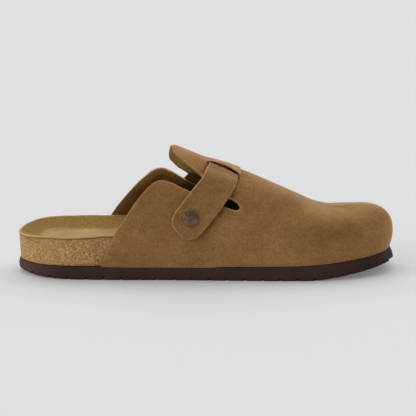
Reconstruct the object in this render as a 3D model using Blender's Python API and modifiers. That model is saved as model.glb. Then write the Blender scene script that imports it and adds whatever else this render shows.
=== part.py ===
# Clog slipper, left foot: suede clog on a moulded cork footbed and a dark foam-rubber outsole.
# Frame: +X from heel to toe, +Z up, -Y the inner (medial) side, +Y the outer (lateral) side.
# The shape functions work in millimetres along the shoe ("station" = distance from the back of the heel);
# mesh_object() puts them in metres, with the origin at the bottom centre of the shoe.
import math

import bmesh
import bpy
import numpy as np
from mathutils import Matrix, Vector
from mathutils.geometry import delaunay_2d_cdt

# ---------------------------------------------------------------- driving sizes (mm)
LENGTH = 285.4            # outsole, heel to toe
ORIGIN = (143.02, 5.13, 0.0)   # bottom centre of the whole shoe's box
UPPER_WALL = 2.0          # suede of the upper
STRAP_WALL = 1.8          # suede of the strap
LINER = 1.5               # insole leather
GAP = 0.35                # air between neighbouring pieces
FAN_START = 200.0         # in front of this station the ribs of the toe start to fan out
RIDGE_END = 238.4         # station where the ridge ends and the toe ribs meet
JOIN = 176.0              # behind this station the upper has its cuts, in front it is closed
CHANNEL_PITCH = 13.3      # tread channels, centre to centre
CHANNEL_WIDTH = 2.3
CHANNEL_DEPTH = 2.0
FIRST_CHANNEL = 10.3
RIVET_HEAD = 6.2          # radius of the domed cap
RIVET_SHANK = 2.0
RIVET_WASHER = 4.5
RIVET_PLACE = (130.0, 63.4)   # station, distance down from the ridge
RECESS = 3.15              # how far the strap presses the ridge in


def table(columns, rows):
    """Rows of numbers under named columns."""
    return dict(zip(columns.split(), np.array(rows, float).T))


# Outline of the outsole seen from above: how far each side lies from the middle line.
OUTLINE = table("station medial lateral", [
    (4.5, -15.0, 15.0),
    (16.0, -27.3, 27.0),
    (32.0, -34.0, 33.6),
    (55.0, -36.9, 36.4),
    (80.0, -38.8, 38.0),
    (110.0, -40.1, 41.0),
    (145.0, -42.6, 47.3),
    (180.0, -45.2, 53.6),
    (207.0, -46.8, 57.2),
    (228.0, -46.2, 56.9),
    (246.0, -42.8, 52.0),
    (261.0, -36.6, 44.0),
    (273.0, -28.4, 32.5),
    (281.5, -17.6, 18.5),
])
HEEL_APEX = (0.0, 0.0)
TOE_APEX = (LENGTH, -2.0)

# Upper face of the outsole: its height, and how far its edge stands inside the outline.
SOLE_TOP = table("station height inset", [
    (0, 9.7, 1.5), (20, 9.95, 0.7), (40, 10.0, 0.2), (58, 10.1, 0.2), (70, 9.6, 0.2),
    (139, 9.6, 0.2), (154, 10.5, 0.2), (200, 11.1, 0.2), (215, 11.5, 0.2), (227, 12.2, 0.2),
    (239, 13.1, 0.4), (251, 14.2, 0.8), (263, 15.1, 1.4), (275, 16.1, 2.2), (286, 17.0, 3.1),
])
# Lower face: rolled up a little at the heel, flat, then the toe spring.
SOLE_BOTTOM = table("station height inset", [
    (0, 2.2, 1.2), (4, 1.6, 1.0), (12, 0.5, 0.7), (20, 0.0, 0.5), (40, 0.0, 0.4), (212, 0.0, 0.4),
    (220, 0.0, 0.4), (228, 0.5, 0.4), (240, 1.9, 0.3), (253, 3.8, 0.2), (266, 5.8, 0.0), (275, 7.4, 0.0), (286, 8.6, 0.0),
])
# Ridge of the last over the instep and vamp.
RIDGE = table("station height side", [
    (50.0, 118.0, 1.0), (85.0, 107.0, 1.5), (118.4, 95.3, 2.5), (143.0, 85.2, 2.5),
    (170.0, 75.3, 1.5), (184.0, 69.4, 0.8), (199.5, 62.2, 0.0), (214.7, 55.0, -0.6),
    (226.0, 49.8, -1.2), (233.0, 48.2, -1.6), (238.4, 47.9, -1.9), (245.0, 48.4, -2.0), (255.0, 49.2, -2.0),
])
# Shape of the ribs between foot and ridge. rise: height of the low handle as a share of the rib's,
# lean: how far (mm) it stands outside the foot, full: squareness of the shoulder, top: length of the
# handle at the ridge as a share of the rib's width; each for the medial (m) and lateral (l) side.
RIBS = table("station rise_m lean_m full_m top_m rise_l lean_l full_l top_l crown", [
    (50.0, 0.30, 0.5, 0.35, 0.55, 0.30, 0.5, 0.35, 0.55, 0.0),
    (110.0, 0.30, 0.8, 0.35, 0.55, 0.30, 0.8, 0.35, 0.55, 0.0),
    (150.0, 0.28, 1.0, 0.25, 0.50, 0.28, 1.0, 0.20, 0.50, 0.0),
    (180.0, 0.28, 1.5, 0.25, 0.50, 0.28, 1.5, 0.15, 0.50, 0.0),
    (205.0, 0.30, 2.5, 0.40, 0.55, 0.28, 2.0, 0.20, 0.52, 0.0),
    (228.0, 0.33, 3.0, 0.65, 0.60, 0.30, 2.3, 0.22, 0.50, 0.0),
    (250.0, 0.33, 3.3, 0.85, 0.66, 0.30, 2.6, 0.22, 0.58, 0.0),
    (270.0, 0.32, 3.2, 0.95, 0.74, 0.32, 2.2, 0.75, 0.76, 0.4),
    (285.8, 0.29, 5.3, 1.36, 0.69, 0.29, 5.3, 1.36, 0.69, 3.7),
])
# Cutting pattern behind the join: station, and distance down from the ridge over the surface.
QUARTER_MEDIAL = table("station down", [
    (67.5, 104.7), (73.0, 90.9), (80.0, 78.8), (88.0, 64.8), (95.0, 54.0), (100.0, 47.6),
    (105.0, 43.3), (109.5, 41.3), (115.0, 41.1), (122.0, 42.1), (138.0, 43.6), (155.0, 45.4), (161.0, 46.4),
])
QUARTER_LATERAL = table("station down", [
    (67.5, 100.0), (72.0, 90.2), (77.5, 80.8), (83.0, 72.6), (92.5, 59.1), (97.5, 52.9),
    (102.0, 47.6), (107.0, 44.0), (112.0, 42.6), (119.5, 44.2), (129.0, 47.7), (145.0, 51.0), (160.0, 53.2),
])
# Round end of each cut, and the edges of the tongue flap.
CUT_END_MEDIAL = table("station down", [(164.2, 46.0), (166.6, 44.4), (167.3, 42.3), (166.2, 40.2)])
CUT_END_LATERAL = table("station down", [(163.2, 52.9), (165.6, 51.2), (166.3, 48.9), (165.0, 46.8)])
TONGUE_MEDIAL = table("station down", [
    (163.5, 38.7), (159.5, 36.9), (148.0, 30.8), (138.5, 25.6), (131.5, 21.2), (126.0, 18.0), (121.5, 14.8), (118.6, 12.0),
])
TONGUE_REAR = table("station down", [(117.6, 8.5), (117.5, 2.0), (117.1, -7.0), (116.3, -15.0), (115.6, -25.0), (116.4, -30.5)])
TONGUE_LATERAL = table("station down", [
    (119.5, 34.6), (122.5, 37.0), (126.5, 38.4), (132.5, 40.6), (145.0, 43.6), (161.5, 46.0),
])
# Strap, ridge to end: its rear and front edge.
STRAP = table("rear_station rear_down front_station front_down", [
    (146.4, 0.0, 168.2, 0.0), (145.3, 8.0, 167.1, 12.5), (142.3, 18.5, 164.2, 26.0), (138.9, 28.2, 159.6, 37.0),
    (130.6, 42.2, 151.6, 51.0), (123.2, 54.5, 143.4, 63.2), (117.4, 64.5, 137.2, 72.6),
    (115.6, 70.0, 134.2, 76.2), (117.0, 74.6, 130.6, 78.4), (120.0, 77.4, 127.2, 79.5), (122.8, 79.2, 124.6, 79.8),
])
# Keeper: half width, and how far its upper and lower face stand over the ridge line.
KEEPER = table("station half over under", [
    (143.8, 5.6, 0.30, -0.25), (146.0, 5.1, 0.55, -0.15), (149.5, 4.7, 0.95, -0.15), (153.5, 5.4, 1.25, -0.15),
    (157.5, 6.4, 1.35, -0.15), (161.5, 7.9, 1.35, -0.15), (165.5, 9.8, 1.40, -0.15), (168.2, 11.2, 1.45, -0.15),
])
# Footbed: floor of the foot's hollow, top of the rim on both sides, depth of the side bevel.
FOOTBED = table("station floor rim_m rim_l spread", [
    (0, 26.2, 29.6, 30.0, 21.0), (8, 26.0, 30.8, 32.2, 19.0), (20, 25.8, 32.2, 33.8, 15.0), (40, 25.8, 32.7, 33.8, 12.5),
    (62, 25.8, 33.8, 33.9, 12.5), (85, 26.0, 34.8, 33.8, 14.0), (110, 25.4, 34.0, 31.0, 17.0), (140, 23.6, 30.5, 27.0, 18.0),
    (170, 21.8, 26.0, 24.2, 16.0), (200, 20.8, 24.0, 23.4, 14.0), (225, 20.9, 24.4, 24.2, 13.0), (255, 23.0, 26.6, 26.6, 12.0),
    (286, 26.0, 29.0, 29.0, 12.0),
])
# How far the cork's side stands inside the outline, low and at the rim, at the bare heel.
HEEL_SIDE = table("station low rim", [(0, 2.0, 0.8), (20, 1.6, 0.6), (62, 2.0, 1.4)])


# ---------------------------------------------------------------- curves
def slopes(x, y):
    h = np.diff(x)
    d = np.diff(y) / h
    m = np.zeros_like(y)
    for i in range(1, len(x) - 1):
        if d[i - 1] * d[i] > 0:
            w1, w2 = 2 * h[i] + h[i - 1], h[i] + 2 * h[i - 1]
            m[i] = (w1 + w2) / (w1 / d[i - 1] + w2 / d[i])
    m[0], m[-1] = d[0], d[-1]
    return m


def follow(x, y, at, slope=False):
    """Value (or slope) of a smooth curve through a table's rows, without overshoot."""
    m = slopes(x, y)
    at = np.clip(np.asarray(at, float), x[0], x[-1])
    i = np.clip(np.searchsorted(x, at, side="right") - 1, 0, len(x) - 2)
    h = x[i + 1] - x[i]
    t = (at - x[i]) / h
    if slope:
        return ((6 * t * t - 6 * t) * y[i] + (3 * t * t - 4 * t + 1) * h * m[i]
                + (6 * t - 6 * t * t) * y[i + 1] + (3 * t * t - 2 * t) * h * m[i + 1]) / h
    return ((2 * t**3 - 3 * t**2 + 1) * y[i] + (t**3 - 2 * t**2 + t) * h * m[i]
            + (3 * t**2 - 2 * t**3) * y[i + 1] + (t**3 - t**2) * h * m[i + 1])


def read(rows, column, station):
    return follow(rows["station"], rows[column], station)


def closed_spline(points, per):
    """A smooth closed curve through the points, with per steps between two of them."""
    p = np.array(points, float)
    n = len(p)
    k = np.sqrt(np.linalg.norm(np.roll(p, -1, 0) - p, axis=1))
    a = np.zeros((n, n))
    b = np.zeros((n, 2))
    for i in range(n):
        j = (i + 1) % n
        a[i, i - 1], a[i, i], a[i, j] = 1 / k[i - 1], 2 / k[i - 1] + 2 / k[i], 1 / k[i]
        b[i] = 3 * ((p[i] - p[i - 1]) / k[i - 1]**2 + (p[j] - p[i]) / k[i]**2)
    m = np.linalg.solve(a, b)
    t = (np.arange(per) / per)[:, None]
    out = []
    for i in range(n):
        j = (i + 1) % n
        out.append((2 * t**3 - 3 * t**2 + 1) * p[i] + (t**3 - 2 * t**2 + t) * k[i] * m[i]
                   + (3 * t**2 - 2 * t**3) * p[j] + (t**3 - t**2) * k[i] * m[j])
    return np.vstack(out)


def sides_of_outline():
    """The outline's medial (-1) and lateral (1) side, each from heel to toe."""
    medial = list(zip(OUTLINE["station"], OUTLINE["medial"]))
    lateral = list(zip(OUTLINE["station"], OUTLINE["lateral"]))
    per = 100
    loop = closed_spline([HEEL_APEX] + medial + [TOE_APEX] + lateral[::-1], per)
    toe = per * (len(medial) + 1)
    return {-1: loop[:toe + 1], 1: np.vstack([loop[toe:], loop[:1]])[::-1]}


SIDES = sides_of_outline()


def inset(side, distance):
    """One side of the outline moved inwards."""
    p = SIDES[side]
    t = np.gradient(p, axis=0)
    t /= np.linalg.norm(t, axis=1)[:, None]
    n = np.stack([-t[:, 1], t[:, 0]], 1) * -side
    n[0], n[-1] = (1, 0), (-1, 0)
    return p + n * np.broadcast_to(distance, len(p))[:, None]


FOOT = {s: inset(s, read(SOLE_TOP, "inset", SIDES[s][:, 0]) + 0.1) for s in (-1, 1)}


def sampled(curve, shares):
    """Points at the given shares of a curve's length."""
    run = np.concatenate([[0], np.cumsum(np.linalg.norm(np.diff(curve, axis=0), axis=1))])
    return np.stack([np.interp(np.asarray(shares) * run[-1], run, curve[:, i]) for i in range(curve.shape[1])], 1)


# ---------------------------------------------------------------- the last's surface
def foot_point(xy):
    return np.array([xy[0], xy[1], read(SOLE_TOP, "height", xy[0]) + GAP])


def foot_at(side, station):
    p = FOOT[side]
    return foot_point((station, np.interp(station, p[:, 0], p[:, 1])))


def ridge_station(station):
    """Where on the ridge the rib from this foot station ends."""
    if station <= FAN_START:
        return station
    reach = RIDGE_END - FAN_START
    far = (LENGTH - 3.2 - FAN_START) / reach
    return FAN_START + reach * (1 - math.exp(-(station - FAN_START) / reach)) / (1 - math.exp(-far))


def rib(side, foot):
    """A rib of the last from the ridge down to the foot: its points and their distance down."""
    station = foot[0]
    col = "_m" if side < 0 else "_l"
    top_at = ridge_station(station)
    ridge = np.array([top_at, read(RIDGE, "side", top_at), read(RIDGE, "height", top_at)])
    slope = float(follow(RIDGE["station"], RIDGE["height"], top_at, slope=True))
    out = foot[:2] - ridge[:2]
    unit = out / np.linalg.norm(out)
    lean = read(RIBS, "lean" + col, station)
    low = np.array([*(foot[:2] + unit * lean), foot[2] + read(RIBS, "rise" + col, station) * (ridge[2] - foot[2])])
    share = read(RIBS, "top" + col, station)
    high = np.array([*(ridge[:2] + out * share), ridge[2] + slope * out[0] * share + read(RIBS, "crown", station)])
    corner = np.array([*(foot[:2] + unit * lean), high[2]])
    middle = (low + high) / 2
    shoulder = middle + (corner - middle) * read(RIBS, "full" + col, station)
    t = np.linspace(1, 0, 90)[:, None]
    p = ((1 - t)**4 * foot + 4 * (1 - t)**3 * t * low + 6 * (1 - t)**2 * t**2 * shoulder
         + 4 * (1 - t) * t**3 * high + t**4 * ridge)
    return p, np.concatenate([[0], np.cumsum(np.linalg.norm(np.diff(p, axis=0), axis=1))])


def ramp(x):
    x = np.clip(x, 0, 1)
    return x * x * (3 - 2 * x)


RIB_MEMO = {}


def last_rib(side, station):
    key = (side, round(float(station), 3))
    if key not in RIB_MEMO:
        RIB_MEMO[key] = rib(side, foot_at(side, station))
    return RIB_MEMO[key]


def bare(station, down):
    """Point of the last at a station and a signed distance from the ridge (lateral positive)."""
    p, run = last_rib(1 if down > 0 else -1, station)
    return np.array([np.interp(abs(down), run, p[:, i]) for i in range(3)])


def bare_normal(station, down):
    du = bare(station + 1.5, down) - bare(station - 1.5, down)
    dv = bare(station, down + 1.5) - bare(station, down - 1.5)
    n = np.cross(du, dv)
    return n / np.linalg.norm(n)


def pressed(station, down):
    """How deep the strap presses the leather in, near the ridge."""
    along = ramp((station - 142.3) / 3.7) * ramp((171.8 - station) / 4.0)
    return RECESS * along * ramp((27.0 - abs(down)) / 14.0)


def on_last(station, down, lift=0.0):
    """Point on the upper's outer face, raised by lift."""
    depth = pressed(station, down)
    return bare(station, down) + bare_normal(station, down) * (lift - depth)


def foot_down(side, station):
    return side * last_rib(side, station)[1][-1]


# ---------------------------------------------------------------- making objects
PARTS = bpy.data.collections.new("clog_slipper")
HELPERS = bpy.data.collections.new("clog_slipper_cutters")


def clear():
    for obj in list(bpy.data.objects):
        bpy.data.objects.remove(obj, do_unlink=True)
    bpy.context.scene.collection.children.link(PARTS)
    bpy.context.scene.collection.children.link(HELPERS)


def material(name, colour, roughness, metallic=0.0):
    made = bpy.data.materials.new(name)
    made.use_nodes = True
    shader = made.node_tree.nodes["Principled BSDF"]
    shader.inputs["Base Color"].default_value = (*colour, 1)
    shader.inputs["Roughness"].default_value = roughness
    shader.inputs["Metallic"].default_value = metallic
    return made


def in_place(points):
    """Shoe millimetres to scene metres."""
    return (np.asarray(points, float) - ORIGIN) * 0.001


def mesh_object(name, points, faces, look, collection=PARTS):
    mesh = bpy.data.meshes.new(name)
    mesh.from_pydata([tuple(p) for p in in_place(points)], [], [tuple(int(i) for i in f) for f in faces])
    mesh.validate()
    mesh.materials.append(look)
    obj = bpy.data.objects.new(name, mesh)
    collection.objects.link(obj)
    mesh.shade_smooth()
    mesh.set_sharp_from_angle(angle=math.radians(40))
    return obj


def face_outwards(obj):
    bm = bmesh.new()
    bm.from_mesh(obj.data)
    bmesh.ops.recalc_face_normals(bm, faces=bm.faces)
    if bm.calc_volume(signed=True) < 0:
        bmesh.ops.reverse_faces(bm, faces=bm.faces)
    bm.to_mesh(obj.data)
    bm.free()


def cut(obj, cutter):
    cutter.hide_render = True
    cutter.display_type = "WIRE"
    mod = obj.modifiers.new("cut_" + cutter.name, "BOOLEAN")
    mod.operation = "DIFFERENCE"
    mod.solver = "EXACT"
    mod.object = cutter


def ring_shares(count):
    """Shares of a side's length, closer together round heel and toe."""
    t = np.linspace(0, 1, count)
    return t - 0.035 * np.sin(2 * np.pi * t)


SHARES = ring_shares(45)


def full_ring(curves, height):
    """One closed ring: medial side heel to toe, then lateral side back. height(points, side)."""
    ring = []
    for side in (-1, 1):
        p = sampled(curves[side], SHARES)
        p = np.column_stack([p, height(p, side)])
        ring.append(p if side < 0 else p[::-1][1:-1])
    return np.vstack(ring)


def ring_faces(rings, count):
    """Quads between rings of one length, stacked in order."""
    return [(r * count + i, r * count + (i + 1) % count, (r + 1) * count + (i + 1) % count, (r + 1) * count + i)
            for r in range(rings - 1) for i in range(count)]


def across(start, count):
    """Strips joining the two sides of one ring."""
    half = count // 2
    faces = [(start, start + 1, start + count - 1)]
    faces += [(start + i, start + i + 1, start + count - i - 1, start + count - i) for i in range(1, half - 1)]
    faces += [(start + half - 1, start + half, start + half + 1)]
    return faces


# ---------------------------------------------------------------- outsole
def make_outsole():
    def level(rows, share):
        return lambda p, side: (1 - share) * read(SOLE_BOTTOM, "height", p[:, 0]) + share * read(SOLE_TOP, "height", p[:, 0])

    def edge(low, high, bulge):
        return {s: inset(s, low * read(SOLE_BOTTOM, "inset", SIDES[s][:, 0])
                         + high * read(SOLE_TOP, "inset", SIDES[s][:, 0]) - bulge) for s in (-1, 1)}

    steps = [(edge(1, 0, -0.6), 0.0), (edge(0.75, 0, 0), 0.09), (edge(0.15, 0.3, 0), 0.5), (edge(0, 0.8, 0), 0.9), (edge(0, 1, -0.1), 1.0)]
    rings = [full_ring(curve, level(None, share)) for curve, share in steps]
    count = len(rings[0])
    faces = ring_faces(len(rings), count) + across(0, count) + across((len(rings) - 1) * count, count)
    obj = mesh_object("outsole", np.vstack(rings), faces, material("foam_rubber", (0.035, 0.017, 0.015), 0.75))
    face_outwards(obj)
    bm = bmesh.new()
    for k in range(21):
        station = FIRST_CHANNEL + CHANNEL_PITCH * k
        if station > LENGTH - 6:
            break
        low = float(read(SOLE_BOTTOM, "height", station))
        tilt = math.atan(float(follow(SOLE_BOTTOM["station"], SOLE_BOTTOM["height"], station, slope=True)))
        place = (Matrix.Translation(Vector(in_place((station, 0, low)))) @ Matrix.Rotation(-tilt, 4, "Y")
                 @ Matrix.Diagonal((CHANNEL_WIDTH * 0.001, 0.16, 2 * CHANNEL_DEPTH * 0.001, 1)))
        bmesh.ops.create_cube(bm, size=1.0, matrix=place)
    mesh = bpy.data.meshes.new("tread_channels")
    bm.to_mesh(mesh)
    bm.free()
    cutter = bpy.data.objects.new("tread_channels", mesh)
    HELPERS.objects.link(cutter)
    cut(obj, cutter)


# ---------------------------------------------------------------- footbed and insole
def covered(station):
    """0 at the bare heel, 1 where the upper is lasted over the footbed."""
    return ramp((station - 55.0) / 9.0)


def side_inset(side, height_share, down):
    """How far the footbed's side stands inside the outline, at a share of the way up its side."""
    p = SIDES[side]
    station = p[:, 0]
    rim = read(FOOTBED, "rim" + ("_m" if side < 0 else "_l"), station) - down
    z = read(SOLE_TOP, "height", station) + GAP + height_share * (rim - read(SOLE_TOP, "height", station) - GAP)
    heel = (1 - height_share) * read(HEEL_SIDE, "low", station) + height_share * read(HEEL_SIDE, "rim", station)
    foot_gap = read(SOLE_TOP, "inset", station) + 0.1
    out = []
    for i in range(0, len(p), 10):
        k = covered(station[i])
        if k <= 0:
            out.append(heel[i])
            continue
        curve, _ = rib(side, foot_point(FOOT[side][i]))
        low = curve[::-1]
        stop = np.argmax(low[:, 2] > z[i]) or 1
        lean = np.linalg.norm(low[stop, :2] - low[0, :2])
        away = np.linalg.norm(low[stop, :2] - curve[0, :2]) - np.linalg.norm(low[0, :2] - curve[0, :2])
        inwards = -lean if away > 0 else lean
        inner = foot_gap[i] + inwards + UPPER_WALL * 1.12 + GAP + 0.25
        out.append((1 - k) * heel[i] + k * max(inner, foot_gap[i] + UPPER_WALL + GAP))
    kept = np.arange(0, len(p), 10)
    return np.interp(np.arange(len(p)), kept, out)


def arch(station, side_at):
    """Rise of the floor under the inner arch of the foot."""
    return 2.6 * np.exp(-((station - 108.0) / 30.0)**2 - ((side_at + 17.0) / 13.0)**2)


def bed_rings(drop, outer, steps):
    """Rings of the hollow from the rim in to the middle line; drop lowers the whole face."""
    rings = []
    spine = {}
    rim_curve = {s: inset(s, outer[s]) for s in (-1, 1)}
    for side in (-1, 1):
        p = sampled(rim_curve[side], SHARES)
        mid = np.clip(p[:, 0], 36.0, 236.0)
        both = [np.interp(mid, rim_curve[s][:, 0], rim_curve[s][:, 1]) for s in (-1, 1)]
        spine[side] = np.column_stack([mid, (both[0] + both[1]) / 2])
    for step in steps:
        parts = []
        for side in (-1, 1):
            p = sampled(rim_curve[side], SHARES)
            q = p + (spine[side] - p) * step
            deep = np.linalg.norm(q - p, axis=1)
            station = (1 - step) * p[:, 0] + step * spine[side][:, 0]
            rim = read(FOOTBED, "rim" + ("_m" if side < 0 else "_l"), p[:, 0])
            spread = read(FOOTBED, "spread", p[:, 0])
            wall = np.clip(1 - deep / spread, 0, 1)**1.45
            floor = read(FOOTBED, "floor", station)
            z = floor + (rim - floor) * wall + (1 - wall) * arch(station, q[:, 1]) - drop
            q = np.column_stack([q, z])
            parts.append(q if side < 0 else q[::-1][1:-1])
        rings.append(np.vstack(parts))
    return rings


BED_STEPS = (0.07, 0.26, 0.56)


def spine_faces(start, count, spine_start):
    """Quads from the innermost ring to the points of the middle line."""
    half = count // 2
    faces = []
    for i in range(half):
        faces.append((start + i, start + i + 1, spine_start + i + 1, spine_start + i))
    for i in range(half):
        a, b = start + (count - i) % count, start + count - i - 1
        faces.append((b, a, spine_start + i, spine_start + i + 1))
    return faces


def spine_points(ring_step_one, count):
    """The middle line's points, one for each pair of ring points."""
    half = count // 2
    out = []
    for i in range(half + 1):
        j = (count - i) % count
        out.append((ring_step_one[i] + ring_step_one[j]) / 2)
    return np.array(out)


def tidy(obj, distance=0.00002):
    bm = bmesh.new()
    bm.from_mesh(obj.data)
    bmesh.ops.remove_doubles(bm, verts=bm.verts, dist=distance)
    bmesh.ops.dissolve_degenerate(bm, edges=bm.edges, dist=distance)
    bm.to_mesh(obj.data)
    bm.free()


def make_footbed_and_insole():
    drop = LINER + GAP
    sides = {share: {s: side_inset(s, share, drop) for s in (-1, 1)} for share in (0.0, 0.5, 0.93)}
    rim_in = {s: sides[0.93][s] + 1.4 for s in (-1, 1)}

    def side_level(share):
        def height(p, side):
            rim = read(FOOTBED, "rim" + ("_m" if side < 0 else "_l"), p[:, 0]) - drop
            low = read(SOLE_TOP, "height", p[:, 0]) + GAP
            return low + share * (rim - low)
        return height

    rings = [full_ring({s: inset(s, sides[share][s]) for s in (-1, 1)}, side_level(share)) for share in (0.0, 0.5, 0.93)]
    rings.append(full_ring({s: inset(s, sides[0.93][s] + 0.5) for s in (-1, 1)}, side_level(1.0)))
    rings.append(full_ring({s: inset(s, rim_in[s]) for s in (-1, 1)}, side_level(1.0)))
    rings += bed_rings(drop, rim_in, BED_STEPS)
    count = len(rings[0])
    middle = spine_points(bed_rings(drop, rim_in, (1.0,))[0], count)
    faces = (ring_faces(len(rings), count) + across(0, count)
             + spine_faces((len(rings) - 1) * count, count, len(rings) * count))
    obj = mesh_object("footbed", np.vstack(rings + [middle]), faces, material("cork", (0.36, 0.22, 0.10), 0.85))
    tidy(obj)
    face_outwards(obj)

    # the liner: lower face a gap over the cork, upper face its thickness higher
    low = [full_ring({s: inset(s, sides[0.93][s] + 0.35) for s in (-1, 1)}, lambda p, s: side_level(1.0)(p, s) + GAP)]
    low.append(full_ring({s: inset(s, rim_in[s]) for s in (-1, 1)}, lambda p, s: side_level(1.0)(p, s) + GAP))
    low += bed_rings(drop - GAP, rim_in, BED_STEPS)
    low_mid = spine_points(bed_rings(drop - GAP, rim_in, (1.0,))[0], count)
    high = [full_ring({s: inset(s, sides[0.93][s] + 0.35) for s in (-1, 1)}, lambda p, s: side_level(1.0)(p, s) + GAP + LINER * 0.6),
            full_ring({s: inset(s, sides[0.93][s] + 1.0) for s in (-1, 1)}, lambda p, s: side_level(1.0)(p, s) + GAP + LINER)]
    high += bed_rings(0.0, rim_in, BED_STEPS)
    high_mid = spine_points(bed_rings(0.0, rim_in, (1.0,))[0], count)
    down = low[::-1]
    stack = [low_mid] + down + high + [high_mid]
    n = len(low_mid)
    faces = []
    base = n
    total = len(down) + len(high)
    faces += [tuple(f) for f in spine_faces(base, count, 0)]
    faces += [tuple(base + i for i in f) for f in ring_faces(total, count)]
    faces += spine_faces(base + (total - 1) * count, count, base + total * count)
    obj = mesh_object("insole", np.vstack(stack), faces, material("suede_liner", (0.42, 0.30, 0.14), 0.9))
    tidy(obj)
    face_outwards(obj)


# ---------------------------------------------------------------- upper
def spaced(points, step):
    """Points about step apart along a smooth run through the given ones."""
    p = np.array(points, float)
    run = np.concatenate([[0], np.cumsum(np.linalg.norm(np.diff(p, axis=0), axis=1))])
    fine = np.linspace(0, run[-1], 400)
    curve = np.stack([follow(run, p[:, i], fine) for i in range(2)], 1)
    length = np.concatenate([[0], np.cumsum(np.linalg.norm(np.diff(curve, axis=0), axis=1))])
    count = max(2, int(round(length[-1] / step)) + 1)
    return sampled(curve, np.linspace(0, 1, count))


def rows_of(rows, side=1):
    return [(a, side * b) for a, b in zip(rows["station"], rows["down"])]


def pattern_outline(step, cut_step, join_downs):
    """Closed outline of the pattern behind the join, as (station, signed distance down)."""
    def feather(side, rear):
        stations = np.arange(JOIN, rear, -step)[1:]
        if stations[-1] - rear < 0.5 * step:
            stations = stations[:-1]
        return [(s, foot_down(side, s)) for s in stations]

    rear_m, rear_l = 62.3, 62.3
    outline = [(JOIN, d) for d in join_downs]
    outline += feather(1, rear_l)
    lateral = [(rear_l, foot_down(1, rear_l))] + rows_of(QUARTER_LATERAL)
    outline += list(map(tuple, spaced(lateral, step)))
    outline += list(map(tuple, spaced([rows_of(QUARTER_LATERAL)[-1]] + rows_of(CUT_END_LATERAL)
                                      + [rows_of(TONGUE_LATERAL)[-1]], cut_step)))[1:]
    outline += list(map(tuple, spaced(rows_of(TONGUE_LATERAL)[::-1], step)))[1:]
    rear = [rows_of(TONGUE_LATERAL)[0]] + rows_of(TONGUE_REAR, -1)[::-1] + [rows_of(TONGUE_MEDIAL, -1)[-1]]
    outline += list(map(tuple, spaced(rear, step)))[1:]
    outline += list(map(tuple, spaced(rows_of(TONGUE_MEDIAL, -1)[::-1], step)))[1:]
    outline += list(map(tuple, spaced([rows_of(TONGUE_MEDIAL, -1)[0]] + rows_of(CUT_END_MEDIAL, -1)[::-1]
                                      + [rows_of(QUARTER_MEDIAL, -1)[-1]], cut_step)))[1:]
    medial = [(rear_m, foot_down(-1, rear_m))] + rows_of(QUARTER_MEDIAL, -1)
    outline += list(map(tuple, spaced(medial[::-1], step)))[1:]
    outline += feather(-1, rear_m)[::-1]
    return outline


def inside(point, outline):
    x, y = point
    hit = False
    for (x1, y1), (x2, y2) in zip(outline, outline[1:] + outline[:1]):
        if (y1 > y) != (y2 > y) and x < (x2 - x1) * (y - y1) / (y2 - y1) + x1:
            hit = not hit
    return hit


def edge_distance(point, outline):
    p = np.array(point)
    a = np.array(outline)
    b = np.roll(a, -1, 0)
    ab = b - a
    t = np.clip(((p - a) * ab).sum(1) / np.maximum((ab * ab).sum(1), 1e-9), 0, 1)
    return np.linalg.norm(a + ab * t[:, None] - p, axis=1).min()


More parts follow.
